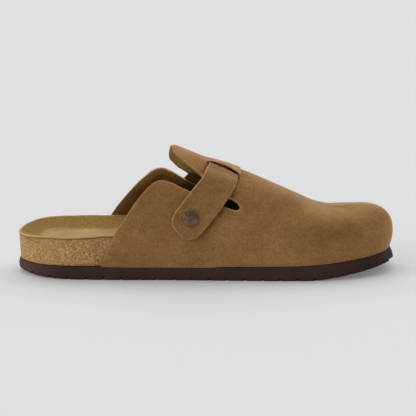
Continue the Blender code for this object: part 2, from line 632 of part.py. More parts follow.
def make_upper():
    step = 6.5
    down_share = np.concatenate([np.linspace(0, 0.25, 6), np.linspace(0.25, 1, 10)[1:]])
    reach = {s: abs(foot_down(s, JOIN)) for s in (-1, 1)}
    join_downs = [-reach[-1] * d for d in down_share[::-1]] + [reach[1] * d for d in down_share[1:]]
    outline = pattern_outline(step, 2.4, join_downs)
    stations = [64, 70, 76, 82, 88, 94, 100, 106, 112, 118, 124, 130, 136, 142, 146, 152, 158, 164, 169, 173]
    inner = []
    for s in stations:
        for d in join_downs[1:-1]:
            side = 1 if d > 0 else -1
            scaled = d * (abs(foot_down(side, s)) / reach[side]) if abs(d) > 30 else d
            if inside((s, scaled), outline) and edge_distance((s, scaled), outline) > 0.42 * step:
                inner.append((s, scaled))
    n = len(outline)
    flat = [Vector(p) for p in outline + inner]
    ring = [(i, (i + 1) % n) for i in range(n)]
    out_points, _, out_faces, _, _, _ = delaunay_2d_cdt(flat, ring, [], 1, 1e-5)
    points = [on_last(p.x, p.y) for p in out_points]
    faces = [tuple(f) for f in out_faces]

    # in front of the join: ribs round the toe, both sides meeting on the ridge
    toe_ribs = {}
    for side in (-1, 1):
        curve = FOOT[side]
        start = np.searchsorted(curve[:, 0] > JOIN, True)
        part = np.vstack([[JOIN, np.interp(JOIN, curve[:, 0], curve[:, 1])], curve[start:]])
        count = 21 if side < 0 else 22
        feet = sampled(part, np.linspace(0, 1, count))
        toe_ribs[side] = [rib(side, foot_point(f)) for f in feet]
    base = len(points)
    index = {}
    for side in (-1, 1):
        last = len(toe_ribs[side]) - 1
        for i, (p, run) in enumerate(toe_ribs[side]):
            row = sampled(p, down_share)
            for j, q in enumerate(row):
                if i == 0:
                    d = side * reach[side] * down_share[j]
                    index[side, i, j] = min(range(base), key=lambda k: (out_points[k].x - JOIN)**2 + (out_points[k].y - d)**2)
                    continue
                if side == 1 and i == last:
                    index[side, i, j] = index[-1, len(toe_ribs[-1]) - 1, j]
                    continue
                index[side, i, j] = len(points)
                points.append(q)
    # one strip of triangles where the two sides' ridge points meet
    for side in (-1, 1):
        last = len(toe_ribs[side]) - 1
        for i in range(last):
            for j in range(1, len(down_share) - 1):
                quad = [index[side, i, j], index[side, i + 1, j], index[side, i + 1, j + 1], index[side, i, j + 1]]
                faces.append(quad if side < 0 else quad[::-1])
    # ridge band: join medial row 1, the shared ridge line, lateral row 1
    ridge = {side: [index[side, i, 0] for i in range(len(toe_ribs[side]))] for side in (-1, 1)}
    for side in (-1, 1):
        last = len(toe_ribs[side]) - 1
        for i in range(last):
            quad = [ridge[side][i], ridge[side][i + 1], index[side, i + 1, 1], index[side, i, 1]]
            faces.append(quad if side < 0 else quad[::-1])
    # the two ridge lines have different spacing, so the lateral one is zipped onto the medial one
    a, b = ridge[-1], ridge[1]
    i = j = 0
    while i < len(a) - 1 or j < len(b) - 1:
        xa = points[a[min(i + 1, len(a) - 1)]][0]
        xb = points[b[min(j + 1, len(b) - 1)]][0]
        if j == len(b) - 1 or (i < len(a) - 1 and xa <= xb):
            faces.append((a[i], b[j], a[i + 1]))
            i += 1
        else:
            faces.append((a[i], b[j], b[j + 1]))
            j += 1
    used = [f for f in faces if len(set(f)) == len(f)]
    obj = mesh_object("upper", points, used, material("suede", (0.24, 0.14, 0.06), 0.9))
    tidy(obj, 0.00008)
    bm = bmesh.new()
    bm.from_mesh(obj.data)
    bmesh.ops.recalc_face_normals(bm, faces=bm.faces)
    top = max(bm.faces, key=lambda f: f.calc_center_median().z)
    if top.normal.z < 0:
        bmesh.ops.reverse_faces(bm, faces=bm.faces)
    bm.to_mesh(obj.data)
    bm.free()
    wall = obj.modifiers.new("leather", "SOLIDIFY")
    wall.thickness = UPPER_WALL * 0.001
    wall.offset = -1
    wall.use_even_offset = True
    wall.use_quality_normals = True
    return obj


# ---------------------------------------------------------------- strap, keeper, rivets
def make_strap():
    rows = len(STRAP["rear_station"])
    fine = np.concatenate([np.linspace(0, 2, 8), np.linspace(2, 6, 7)[1:], np.linspace(6, rows - 1, 8)[1:]])
    at = np.arange(rows, dtype=float)
    column = {k: follow(at, STRAP[k], fine) for k in STRAP}
    shares = np.linspace(0, 1, 6)
    lift = GAP + 0.25
    grid = []
    order = [(1, k) for k in range(len(fine) - 1, 0, -1)] + [(-1, k) for k in range(len(fine))]
    for side, k in order:
        for s in shares:
            station = (1 - s) * column["rear_station"][k] + s * column["front_station"][k]
            down = (1 - s) * column["rear_down"][k] + s * column["front_down"][k]
            if side > 0:
                # the lateral half lies mirrored; near the ridge the two halves run into one another
                down = max(down, 0.01)
            grid.append(on_last(station, side * down, lift))
    grid = np.array(grid).reshape(len(order), len(shares), 3)
    # even out the small kink where the two halves meet on the ridge
    mid = len(fine) - 1
    for _ in range(2):
        smooth = grid.copy()
        smooth[mid - 2:mid + 3, :, 0] = (grid[mid - 3:mid + 2, :, 0] + 2 * grid[mid - 2:mid + 3, :, 0] + grid[mid - 1:mid + 4, :, 0]) / 4
        grid = smooth
    n = len(shares)
    faces = [(r * n + i, r * n + i + 1, (r + 1) * n + i + 1, (r + 1) * n + i) for r in range(len(order) - 1) for i in range(n - 1)]
    obj = mesh_object("strap", grid.reshape(-1, 3), faces, material("strap_suede", (0.25, 0.145, 0.062), 0.9))
    bm = bmesh.new()
    bm.from_mesh(obj.data)
    if max(bm.faces, key=lambda f: f.calc_center_median().z).normal.z < 0:
        bmesh.ops.reverse_faces(bm, faces=bm.faces)
    bm.to_mesh(obj.data)
    bm.free()
    wall = obj.modifiers.new("leather", "SOLIDIFY")
    wall.thickness = STRAP_WALL * 0.001
    wall.offset = 1
    wall.use_even_offset = True
    wall.use_quality_normals = True
    return obj


def make_keeper():
    stations = np.concatenate([KEEPER["station"][:3], np.linspace(153.5, 168.2, 6)])
    shares = np.linspace(-1, 1, 9)
    rings = []
    for s in stations:
        half = read(KEEPER, "half", s)
        upper = [bare(s, half * k) + bare_normal(s, half * k) * float(read(KEEPER, "over", s)) for k in shares]
        lower = [bare(s, half * k) + bare_normal(s, half * k) * float(read(KEEPER, "under", s)) for k in shares]
        rings.append(np.array(upper + lower[::-1]))
    count = len(rings[0])
    faces = ring_faces(len(rings), count)
    faces += [tuple(range(count)), tuple(range((len(rings) - 1) * count, len(rings) * count))]
    faces = faces[:-2]
    half = len(shares)
    for start in (0, (len(rings) - 1) * count):
        faces += [(start + i, start + i + 1, start + count - i - 2, start + count - i - 1) for i in range(half - 1)]
    obj = mesh_object("keeper", np.vstack(rings), faces, material("keeper_suede", (0.25, 0.145, 0.062), 0.9))
    face_outwards(obj)


def make_rivet(name, side, leathers):
    """Domed cap, shank and inner washer, turned round the leather's own normal."""
    station, down = RIVET_PLACE
    seat = on_last(station, side * down)
    axis = bare_normal(station, side * down)
    cap_low = GAP + 0.25 + STRAP_WALL + 0.35
    cap_high = cap_low + 2.1
    washer = -(UPPER_WALL + 0.75)
    profile = [(0, cap_high), (2.6, cap_high - 0.18), (4.6, cap_high - 0.62), (6.0, cap_high - 1.25), (RIVET_HEAD, cap_low + 0.35),
               (RIVET_HEAD, cap_low), (RIVET_SHANK, cap_low), (RIVET_SHANK, washer), (RIVET_WASHER, washer),
               (RIVET_WASHER, washer - 0.6), (RIVET_WASHER - 0.5, washer - 0.9), (0, washer - 0.9)]
    bm = bmesh.new()
    chain = [bm.verts.new((r * 0.001, 0, z * 0.001)) for r, z in profile]
    for a, b in zip(chain, chain[1:]):
        bm.edges.new((a, b))
    mesh = bpy.data.meshes.new(name)
    bm.to_mesh(mesh)
    bm.free()
    mesh.materials.append(material("aged_copper", (0.19, 0.115, 0.09), 0.38, 0.9))
    obj = bpy.data.objects.new(name, mesh)
    PARTS.objects.link(obj)
    turn = Vector((0, 0, 1)).rotation_difference(Vector(axis))
    obj.rotation_mode = "QUATERNION"
    obj.rotation_quaternion = turn
    obj.location = Vector(in_place(seat))
    screw = obj.modifiers.new("turned", "SCREW")
    screw.steps = screw.render_steps = 20
    screw.use_merge_vertices = True
    screw.merge_threshold = 0.00005
    screw.use_smooth_shade = True
    bm = bmesh.new()
    place = Matrix.Translation(obj.location) @ turn.to_matrix().to_4x4()
    bmesh.ops.create_cone(bm, cap_ends=True, segments=16, radius1=(RIVET_SHANK + GAP + 0.1) * 0.001, radius2=(RIVET_SHANK + GAP + 0.1) * 0.001,
                          depth=0.016, matrix=place)
    hole = bpy.data.meshes.new(name + "_hole")
    bm.to_mesh(hole)
    bm.free()
    cutter = bpy.data.objects.new(name + "_hole", hole)
    HELPERS.objects.link(cutter)
    for leather in leathers:
        cut(leather, cutter)


clear()
make_outsole()
make_footbed_and_insole()
upper = make_upper()
strap = make_strap()
make_keeper()
make_rivet("rivet_medial", -1, (upper, strap))
make_rivet("rivet_lateral", 1, (upper, strap))
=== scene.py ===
# Looks of the clog slipper: suede upper and strap, cork footbed with a suede liner, foam-rubber sole.
# The shape functions work in millimetres along the shoe, as the construction does: "station" is the distance
# from the back of the heel, "down" the distance from the ridge over the surface (medial negative).
import math

import bmesh
import bpy
import numpy as np
from mathutils import Matrix, Vector
from mathutils.geometry import delaunay_2d_cdt
from mathutils.kdtree import KDTree


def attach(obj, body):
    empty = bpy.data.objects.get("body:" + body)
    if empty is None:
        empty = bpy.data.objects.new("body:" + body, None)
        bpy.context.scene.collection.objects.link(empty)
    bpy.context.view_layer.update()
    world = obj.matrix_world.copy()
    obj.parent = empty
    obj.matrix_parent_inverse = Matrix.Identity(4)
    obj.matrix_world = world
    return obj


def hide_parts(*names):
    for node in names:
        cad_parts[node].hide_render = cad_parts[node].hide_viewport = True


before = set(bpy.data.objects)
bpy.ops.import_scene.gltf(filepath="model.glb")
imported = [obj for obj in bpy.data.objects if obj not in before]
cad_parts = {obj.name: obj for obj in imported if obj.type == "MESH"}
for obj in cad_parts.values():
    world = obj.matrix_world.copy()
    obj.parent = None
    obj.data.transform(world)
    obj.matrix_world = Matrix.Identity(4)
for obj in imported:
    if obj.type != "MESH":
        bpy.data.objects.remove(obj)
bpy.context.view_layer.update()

# ---------------------------------------------------------------- sizes shared with the construction (mm)
LENGTH = 285.4
ORIGIN = np.array((143.02, 5.13, 0.0))
UPPER_WALL = 2.0
STRAP_WALL = 1.8
LINER = 1.5
GAP = 0.35
FAN_START = 200.0
RIDGE_END = 238.4
JOIN = 176.0
CHANNEL_PITCH = 13.3
CHANNEL_WIDTH = 2.3
CHANNEL_DEPTH = 2.0
FIRST_CHANNEL = 10.3
RIVET_HEAD = 6.2
RIVET_SHANK = 2.0
RIVET_WASHER = 4.5
RIVET_PLACE = (130.0, 63.4)
RECESS = 3.15


def table(columns, rows):
    return dict(zip(columns.split(), np.array(rows, float).T))


OUTLINE = table("station medial lateral", [
    (4.5, -15.0, 15.0), (16.0, -27.3, 27.0), (32.0, -34.0, 33.6), (55.0, -36.9, 36.4), (80.0, -38.8, 38.0),
    (110.0, -40.1, 41.0), (145.0, -42.6, 47.3), (180.0, -45.2, 53.6), (207.0, -46.8, 57.2), (228.0, -46.2, 56.9),
    (246.0, -42.8, 52.0), (261.0, -36.6, 44.0), (273.0, -28.4, 32.5), (281.5, -17.6, 18.5),
])
HEEL_APEX = (0.0, 0.0)
TOE_APEX = (LENGTH, -2.0)
SOLE_TOP = table("station height inset", [
    (0, 9.7, 1.5), (20, 9.95, 0.7), (40, 10.0, 0.2), (58, 10.1, 0.2), (70, 9.6, 0.2),
    (139, 9.6, 0.2), (154, 10.5, 0.2), (200, 11.1, 0.2), (215, 11.5, 0.2), (227, 12.2, 0.2),
    (239, 13.1, 0.4), (251, 14.2, 0.8), (263, 15.1, 1.4), (275, 16.1, 2.2), (286, 17.0, 3.1),
])
SOLE_BOTTOM = table("station height inset", [
    (0, 3.0, 1.0), (4, 2.4, 0.9), (12, 1.4, 0.7), (20, 0.8, 0.5), (34, 0.2, 0.4), (46, 0.0, 0.4), (212, 0.0, 0.4),
    (220, 0.0, 0.4), (228, 0.5, 0.4), (240, 1.9, 0.3), (253, 3.8, 0.2), (266, 5.8, 0.0), (275, 7.4, 0.0), (286, 8.6, 0.0),
])
RIDGE = table("station height side", [
    (50.0, 118.0, 1.0), (85.0, 107.0, 1.5), (118.4, 95.3, 2.5), (143.0, 85.2, 2.5),
    (170.0, 75.3, 1.5), (184.0, 69.4, 0.8), (199.5, 62.2, 0.0), (214.7, 55.0, -0.6),
    (226.0, 49.8, -1.2), (233.0, 48.2, -1.6), (238.4, 47.9, -1.9), (245.0, 48.4, -2.0), (255.0, 49.2, -2.0),
])
RIBS = table("station rise_m lean_m full_m top_m rise_l lean_l full_l top_l crown", [
    (50.0, 0.30, 0.5, 0.35, 0.55, 0.30, 0.5, 0.35, 0.55, 0.0),
    (110.0, 0.30, 0.8, 0.35, 0.55, 0.30, 0.8, 0.35, 0.55, 0.0),
    (150.0, 0.28, 1.0, 0.25, 0.50, 0.28, 1.0, 0.20, 0.50, 0.0),
    (180.0, 0.28, 1.5, 0.25, 0.50, 0.28, 1.5, 0.15, 0.50, 0.0),
    (205.0, 0.30, 2.5, 0.40, 0.55, 0.28, 2.0, 0.20, 0.52, 0.0),
    (228.0, 0.33, 3.0, 0.65, 0.60, 0.30, 2.3, 0.22, 0.50, 0.0),
    (250.0, 0.33, 3.3, 0.85, 0.66, 0.30, 2.6, 0.22, 0.58, 0.0),
    (270.0, 0.32, 3.2, 0.95, 0.74, 0.32, 2.2, 0.75, 0.76, 0.4),
    (285.8, 0.29, 5.3, 1.36, 0.69, 0.29, 5.3, 1.36, 0.69, 3.7),
])
QUARTER_MEDIAL = table("station down", [
    (67.5, 104.7), (73.0, 90.9), (80.0, 78.8), (88.0, 64.8), (95.0, 54.0), (100.0, 47.6),
    (105.0, 43.3), (109.5, 41.3), (115.0, 41.1), (122.0, 42.1), (138.0, 43.6), (155.0, 45.4), (161.0, 46.4),
])
QUARTER_LATERAL = table("station down", [
    (67.5, 100.0), (72.0, 90.2), (77.5, 80.8), (83.0, 72.6), (92.5, 59.1), (97.5, 52.9),
    (102.0, 47.6), (107.0, 44.0), (112.0, 42.6), (119.5, 44.2), (129.0, 47.7), (145.0, 51.0), (160.0, 53.2),
])
CUT_END_MEDIAL = table("station down", [(164.2, 46.0), (166.6, 44.4), (167.3, 42.3), (166.2, 40.2)])
CUT_END_LATERAL = table("station down", [(163.2, 52.9), (165.6, 51.2), (166.3, 48.9), (165.0, 46.8)])
TONGUE_MEDIAL = table("station down", [
    (163.5, 38.7), (159.5, 36.9), (148.0, 30.8), (138.5, 25.6), (131.5, 21.2), (126.0, 18.0), (121.5, 14.8), (118.6, 12.0),
])
TONGUE_REAR = table("station down", [(117.6, 8.5), (117.5, 2.0), (117.1, -7.0), (116.3, -15.0), (115.6, -25.0), (116.4, -30.5)])
TONGUE_LATERAL = table("station down", [
    (119.5, 34.6), (122.5, 37.0), (126.5, 38.4), (132.5, 40.6), (145.0, 43.6), (161.5, 46.0),
])
STRAP = table("rear_station rear_down front_station front_down", [
    (146.4, 0.0, 168.2, 0.0), (145.3, 8.0, 167.1, 12.5), (142.3, 18.5, 164.2, 26.0), (138.9, 28.2, 159.6, 37.0),
    (130.6, 42.2, 151.6, 51.0), (123.2, 54.5, 143.4, 63.2), (117.4, 64.5, 137.2, 72.6),
    (115.6, 70.0, 134.2, 76.2), (117.0, 74.6, 130.6, 78.4), (120.0, 77.4, 127.2, 79.5), (122.8, 79.2, 124.6, 79.8),
])
KEEPER = table("station half over under", [
    (140.5, 7.6, 0.00, -0.60), (142.5, 7.2, 0.14, -0.60), (145.0, 6.2, 0.40, -0.40), (148.5, 5.0, 0.85, 0.05), (153.5, 4.3, 1.22, 0.42),
    (157.5, 4.9, 1.35, 0.52), (161.5, 6.8, 1.38, 0.52), (165.5, 9.6, 1.40, 0.50), (168.6, 11.9, 1.38, 0.30),
])
FOOTBED = table("station floor rim_m rim_l spread", [
    (0, 26.2, 29.6, 30.0, 21.0), (8, 26.0, 30.8, 32.2, 19.0), (20, 25.8, 32.2, 33.8, 15.0), (40, 25.8, 32.7, 33.8, 12.5),
    (62, 25.8, 33.8, 33.9, 12.5), (85, 26.0, 34.8, 33.8, 14.0), (110, 25.4, 34.0, 31.0, 17.0), (140, 23.6, 30.5, 27.0, 18.0),
    (170, 21.8, 26.0, 24.2, 16.0), (200, 20.8, 24.0, 23.4, 14.0), (225, 20.9, 24.4, 24.2, 13.0), (255, 23.0, 26.6, 26.6, 12.0),
    (286, 26.0, 29.0, 29.0, 12.0),
])
HEEL_SIDE = table("station low rim", [(0, 2.0, 0.8), (20, 1.6, 0.6), (62, 2.0, 1.4)])


# ---------------------------------------------------------------- curves
def slopes(x, y):
    h = np.diff(x)
    d = np.diff(y) / h
    m = np.zeros_like(y)
    for i in range(1, len(x) - 1):
        if d[i - 1] * d[i] > 0:
            w1, w2 = 2 * h[i] + h[i - 1], h[i] + 2 * h[i - 1]
            m[i] = (w1 + w2) / (w1 / d[i - 1] + w2 / d[i])
    m[0], m[-1] = d[0], d[-1]
    return m


SLOPE_MEMO = {}


def follow(x, y, at, slope=False):
    key = (x.tobytes(), y.tobytes())
    if key not in SLOPE_MEMO:
        SLOPE_MEMO[key] = slopes(x, y)
    m = SLOPE_MEMO[key]
    at = np.clip(np.asarray(at, float), x[0], x[-1])
    i = np.clip(np.searchsorted(x, at, side="right") - 1, 0, len(x) - 2)
    h = x[i + 1] - x[i]
    t = (at - x[i]) / h
    if slope:
        return ((6 * t * t - 6 * t) * y[i] + (3 * t * t - 4 * t + 1) * h * m[i]
                + (6 * t - 6 * t * t) * y[i + 1] + (3 * t * t - 2 * t) * h * m[i + 1]) / h
    return ((2 * t**3 - 3 * t**2 + 1) * y[i] + (t**3 - 2 * t**2 + t) * h * m[i]
            + (3 * t**2 - 2 * t**3) * y[i + 1] + (t**3 - t**2) * h * m[i + 1])


def read(rows, column, station):
    return follow(rows["station"], rows[column], station)


def closed_spline(points, per):
    p = np.array(points, float)
    n = len(p)
    k = np.sqrt(np.linalg.norm(np.roll(p, -1, 0) - p, axis=1))
    a = np.zeros((n, n))
    b = np.zeros((n, 2))
    for i in range(n):
        j = (i + 1) % n
        a[i, i - 1], a[i, i], a[i, j] = 1 / k[i - 1], 2 / k[i - 1] + 2 / k[i], 1 / k[i]
        b[i] = 3 * ((p[i] - p[i - 1]) / k[i - 1]**2 + (p[j] - p[i]) / k[i]**2)
    m = np.linalg.solve(a, b)
    t = (np.arange(per) / per)[:, None]
    out = []
    for i in range(n):
        j = (i + 1) % n
        out.append((2 * t**3 - 3 * t**2 + 1) * p[i] + (t**3 - 2 * t**2 + t) * k[i] * m[i]
                   + (3 * t**2 - 2 * t**3) * p[j] + (t**3 - t**2) * k[i] * m[j])
    return np.vstack(out)


def sides_of_outline():
    medial = list(zip(OUTLINE["station"], OUTLINE["medial"]))
    lateral = list(zip(OUTLINE["station"], OUTLINE["lateral"]))
    per = 100
    loop = closed_spline([HEEL_APEX] + medial + [TOE_APEX] + lateral[::-1], per)
    toe = per * (len(medial) + 1)
    return {-1: loop[:toe + 1], 1: np.vstack([loop[toe:], loop[:1]])[::-1]}


SIDES = sides_of_outline()


def inset(side, distance):
    p = SIDES[side]
    t = np.gradient(p, axis=0)
    t /= np.linalg.norm(t, axis=1)[:, None]
    n = np.stack([-t[:, 1], t[:, 0]], 1) * -side
    n[0], n[-1] = (1, 0), (-1, 0)
    return p + n * np.broadcast_to(distance, len(p))[:, None]


FOOT = {s: inset(s, read(SOLE_TOP, "inset", SIDES[s][:, 0]) + 0.1) for s in (-1, 1)}


def sampled(curve, shares):
    run = np.concatenate([[0], np.cumsum(np.linalg.norm(np.diff(curve, axis=0), axis=1))])
    return np.stack([np.interp(np.asarray(shares) * run[-1], run, curve[:, i]) for i in range(curve.shape[1])], 1)


def ramp(x):
    x = np.clip(x, 0, 1)
    return x * x * (3 - 2 * x)


# ---------------------------------------------------------------- the last's surface
def foot_point(xy):
    return np.array([xy[0], xy[1], read(SOLE_TOP, "height", xy[0]) + GAP])


def foot_at(side, station):
    p = FOOT[side]
    return foot_point((station, np.interp(station, p[:, 0], p[:, 1])))


def ridge_station(station):
    if station <= FAN_START:
        return station
    reach = RIDGE_END - FAN_START
    far = (LENGTH - 3.2 - FAN_START) / reach
    return FAN_START + reach * (1 - math.exp(-(station - FAN_START) / reach)) / (1 - math.exp(-far))


def rib(side, foot, samples=90):
    """A rib of the last from the ridge down to the foot: its points and their distance down."""
    station = foot[0]
    col = "_m" if side < 0 else "_l"
    top_at = ridge_station(station)
    ridge = np.array([top_at, read(RIDGE, "side", top_at), read(RIDGE, "height", top_at)])
    slope = float(follow(RIDGE["station"], RIDGE["height"], top_at, slope=True))
    out = foot[:2] - ridge[:2]
    unit = out / np.linalg.norm(out)
    lean = read(RIBS, "lean" + col, station)
    low = np.array([*(foot[:2] + unit * lean), foot[2] + read(RIBS, "rise" + col, station) * (ridge[2] - foot[2])])
    share = read(RIBS, "top" + col, station)
    high = np.array([*(ridge[:2] + out * share), ridge[2] + slope * out[0] * share + read(RIBS, "crown", station)])
    corner = np.array([*(foot[:2] + unit * lean), high[2]])
    middle = (low + high) / 2
    shoulder = middle + (corner - middle) * read(RIBS, "full" + col, station)
    t = np.linspace(1, 0, samples)[:, None]
    p = ((1 - t)**4 * foot + 4 * (1 - t)**3 * t * low + 6 * (1 - t)**2 * t**2 * shoulder
         + 4 * (1 - t) * t**3 * high + t**4 * ridge)
    return p, np.concatenate([[0], np.cumsum(np.linalg.norm(np.diff(p, axis=0), axis=1))])


# the last sampled finely behind and a little past the join: points by (station, share of the way down)
SKIN_AT = np.arange(56.0, 182.01, 0.5)
SKIN_SHARES = np.linspace(0, 1, 241)
SKIN = {}
SKIN_RUN = {}
for _side in (-1, 1):
    _grid, _runs = [], []
    for _s in SKIN_AT:
        _p, _run = rib(_side, foot_at(_side, _s), 300)
        _grid.append(np.stack([np.interp(SKIN_SHARES * _run[-1], _run, _p[:, i]) for i in range(3)], 1))
        _runs.append(_run[-1])
    SKIN[_side], SKIN_RUN[_side] = np.array(_grid), np.array(_runs)


def foot_down(side, station):
    return side * np.interp(station, SKIN_AT, SKIN_RUN[side])


def bare(station, down):
    """Points of the last at stations and signed distances from the ridge."""
    station, down = np.broadcast_arrays(np.asarray(station, float), np.asarray(down, float))
    shape = station.shape
    station, down = station.ravel(), down.ravel()
    out = np.empty((len(station), 3))
    a = np.clip((station - SKIN_AT[0]) / 0.5, 0, len(SKIN_AT) - 1.001)
    i = a.astype(int)
    fa = (a - i)[:, None]
    for side in (-1, 1):
        pick = (down > 0) if side > 0 else (down <= 0)
        if not pick.any():
            continue
        run = np.interp(station[pick], SKIN_AT, SKIN_RUN[side])
        u = np.clip(np.abs(down[pick]) / run, 0, 1) * (len(SKIN_SHARES) - 1)
        j = np.minimum(u.astype(int), len(SKIN_SHARES) - 2)
        fu = (u - j)[:, None]
        g, ii, f = SKIN[side], i[pick], fa[pick]
        out[pick] = ((1 - f) * ((1 - fu) * g[ii, j] + fu * g[ii, j + 1])
                     + f * ((1 - fu) * g[ii + 1, j] + fu * g[ii + 1, j + 1]))
    return out.reshape(*shape, 3)


def bare_normal(station, down):
    du = bare(np.asarray(station) + 1.5, down) - bare(np.asarray(station) - 1.5, down)
    dv = bare(station, np.asarray(down) + 1.5) - bare(station, np.asarray(down) - 1.5)
    n = np.cross(du, dv)
    return n / np.linalg.norm(n, axis=-1, keepdims=True)


STRAP_REAR = (np.array((0.0, 8.0, 18.5, 28.2, 42.0)), np.array((146.4, 145.3, 142.3, 138.9, 131.0)))
STRAP_FRONT = (np.array((0.0, 12.5, 26.0, 37.0, 51.0)), np.array((168.2, 167.1, 164.2, 159.6, 151.6)))


def pressed(station, down):
    """How far the upper and the strap dip: under the strap at the ridge, deeper under the keeper, and at the tongue's end."""
    off = np.abs(down)
    rear = follow(*STRAP_REAR, off)
    along = ramp((station - (rear - 1.8)) / 1.6) * ramp((follow(*STRAP_FRONT, off) + 1.7 - station) / 1.6)
    fold = 5.2 + 0.262 * (np.clip(station, 143.0, 170.0) - 143.0)
    deep = RECESS * along * ramp((27.0 - off) / 14.0) + 2.1 * along * ramp((fold - off) / 2.4)
    return deep + 1.25 * np.clip((121.0 - station) / 3.8, 0, 1)**2 * ramp((36.0 - off) / 12.0)


STRAP_SIDE = (np.array((26.0, 37.0, 51.0, 63.2, 72.6, 76.2)), np.array((164.2, 159.6, 151.6, 143.4, 137.2, 134.2)))


def marked(station, down):
    """The groove that the strap's front edge has pressed into the quarter."""
    off = np.abs(down)
    front = follow(*STRAP_SIDE, off)
    return 1.15 * np.exp(-((station - front - 0.3) / 1.6)**2) * ramp((off - 28.0) / 8.0) * ramp((78.0 - off) / 5.0)


def on_last(station, down, lift=0.0, groove=False):
    station, down = np.asarray(station, float), np.asarray(down, float)
    depth = pressed(station, down) + (marked(station, down) if groove else 0.0)
    return bare(station, down) + bare_normal(station, down) * (lift - depth)[..., None]


# ---------------------------------------------------------------- objects and materials
PIECES = bpy.data.collections.new("clog_looks")
bpy.context.scene.collection.children.link(PIECES)


def in_place(points):
    return (np.asarray(points, float) - ORIGIN) * 0.001


def mesh_object(name, points, faces, looks, indices=None):
    mesh = bpy.data.meshes.new(name)
    mesh.from_pydata(in_place(points).tolist(), [], [tuple(int(i) for i in f) for f in faces])
    for look in looks if isinstance(looks, (list, tuple)) else [looks]:
        mesh.materials.append(look)
    if indices is not None:
        mesh.polygons.foreach_set("material_index", np.asarray(indices, np.int32))
    mesh.validate()
    obj = bpy.data.objects.new(name, mesh)
    PIECES.objects.link(obj)
    mesh.shade_smooth()
    return obj


def face_outwards(obj):
    bm = bmesh.new()
    bm.from_mesh(obj.data)
    bmesh.ops.recalc_face_normals(bm, faces=bm.faces)
    if bm.calc_volume(signed=True) < 0:
        bmesh.ops.reverse_faces(bm, faces=bm.faces)
    bm.to_mesh(obj.data)
    bm.free()


def weld(obj, distance=0.00002):
    bm = bmesh.new()
    bm.from_mesh(obj.data)
    bmesh.ops.remove_doubles(bm, verts=bm.verts, dist=distance)
    bmesh.ops.dissolve_degenerate(bm, edges=bm.edges, dist=distance * 0.2)
    bm.to_mesh(obj.data)
    bm.free()


def evaluated(obj):
    """Apply the object's modifiers."""
    graph = bpy.context.evaluated_depsgraph_get()
    mesh = bpy.data.meshes.new_from_object(obj.evaluated_get(graph))
    old = obj.data
    obj.modifiers.clear()
    obj.data = mesh
    mesh.name = obj.name
    bpy.data.meshes.remove(old)


def srgb(r, g, b):
    """Linear colour of an sRGB one given as 0..255."""
    return tuple(c / 12.92 if c <= 0.04045 else ((c + 0.055) / 1.055)**2.4 for c in (r / 255, g / 255, b / 255)) + (1.0,)


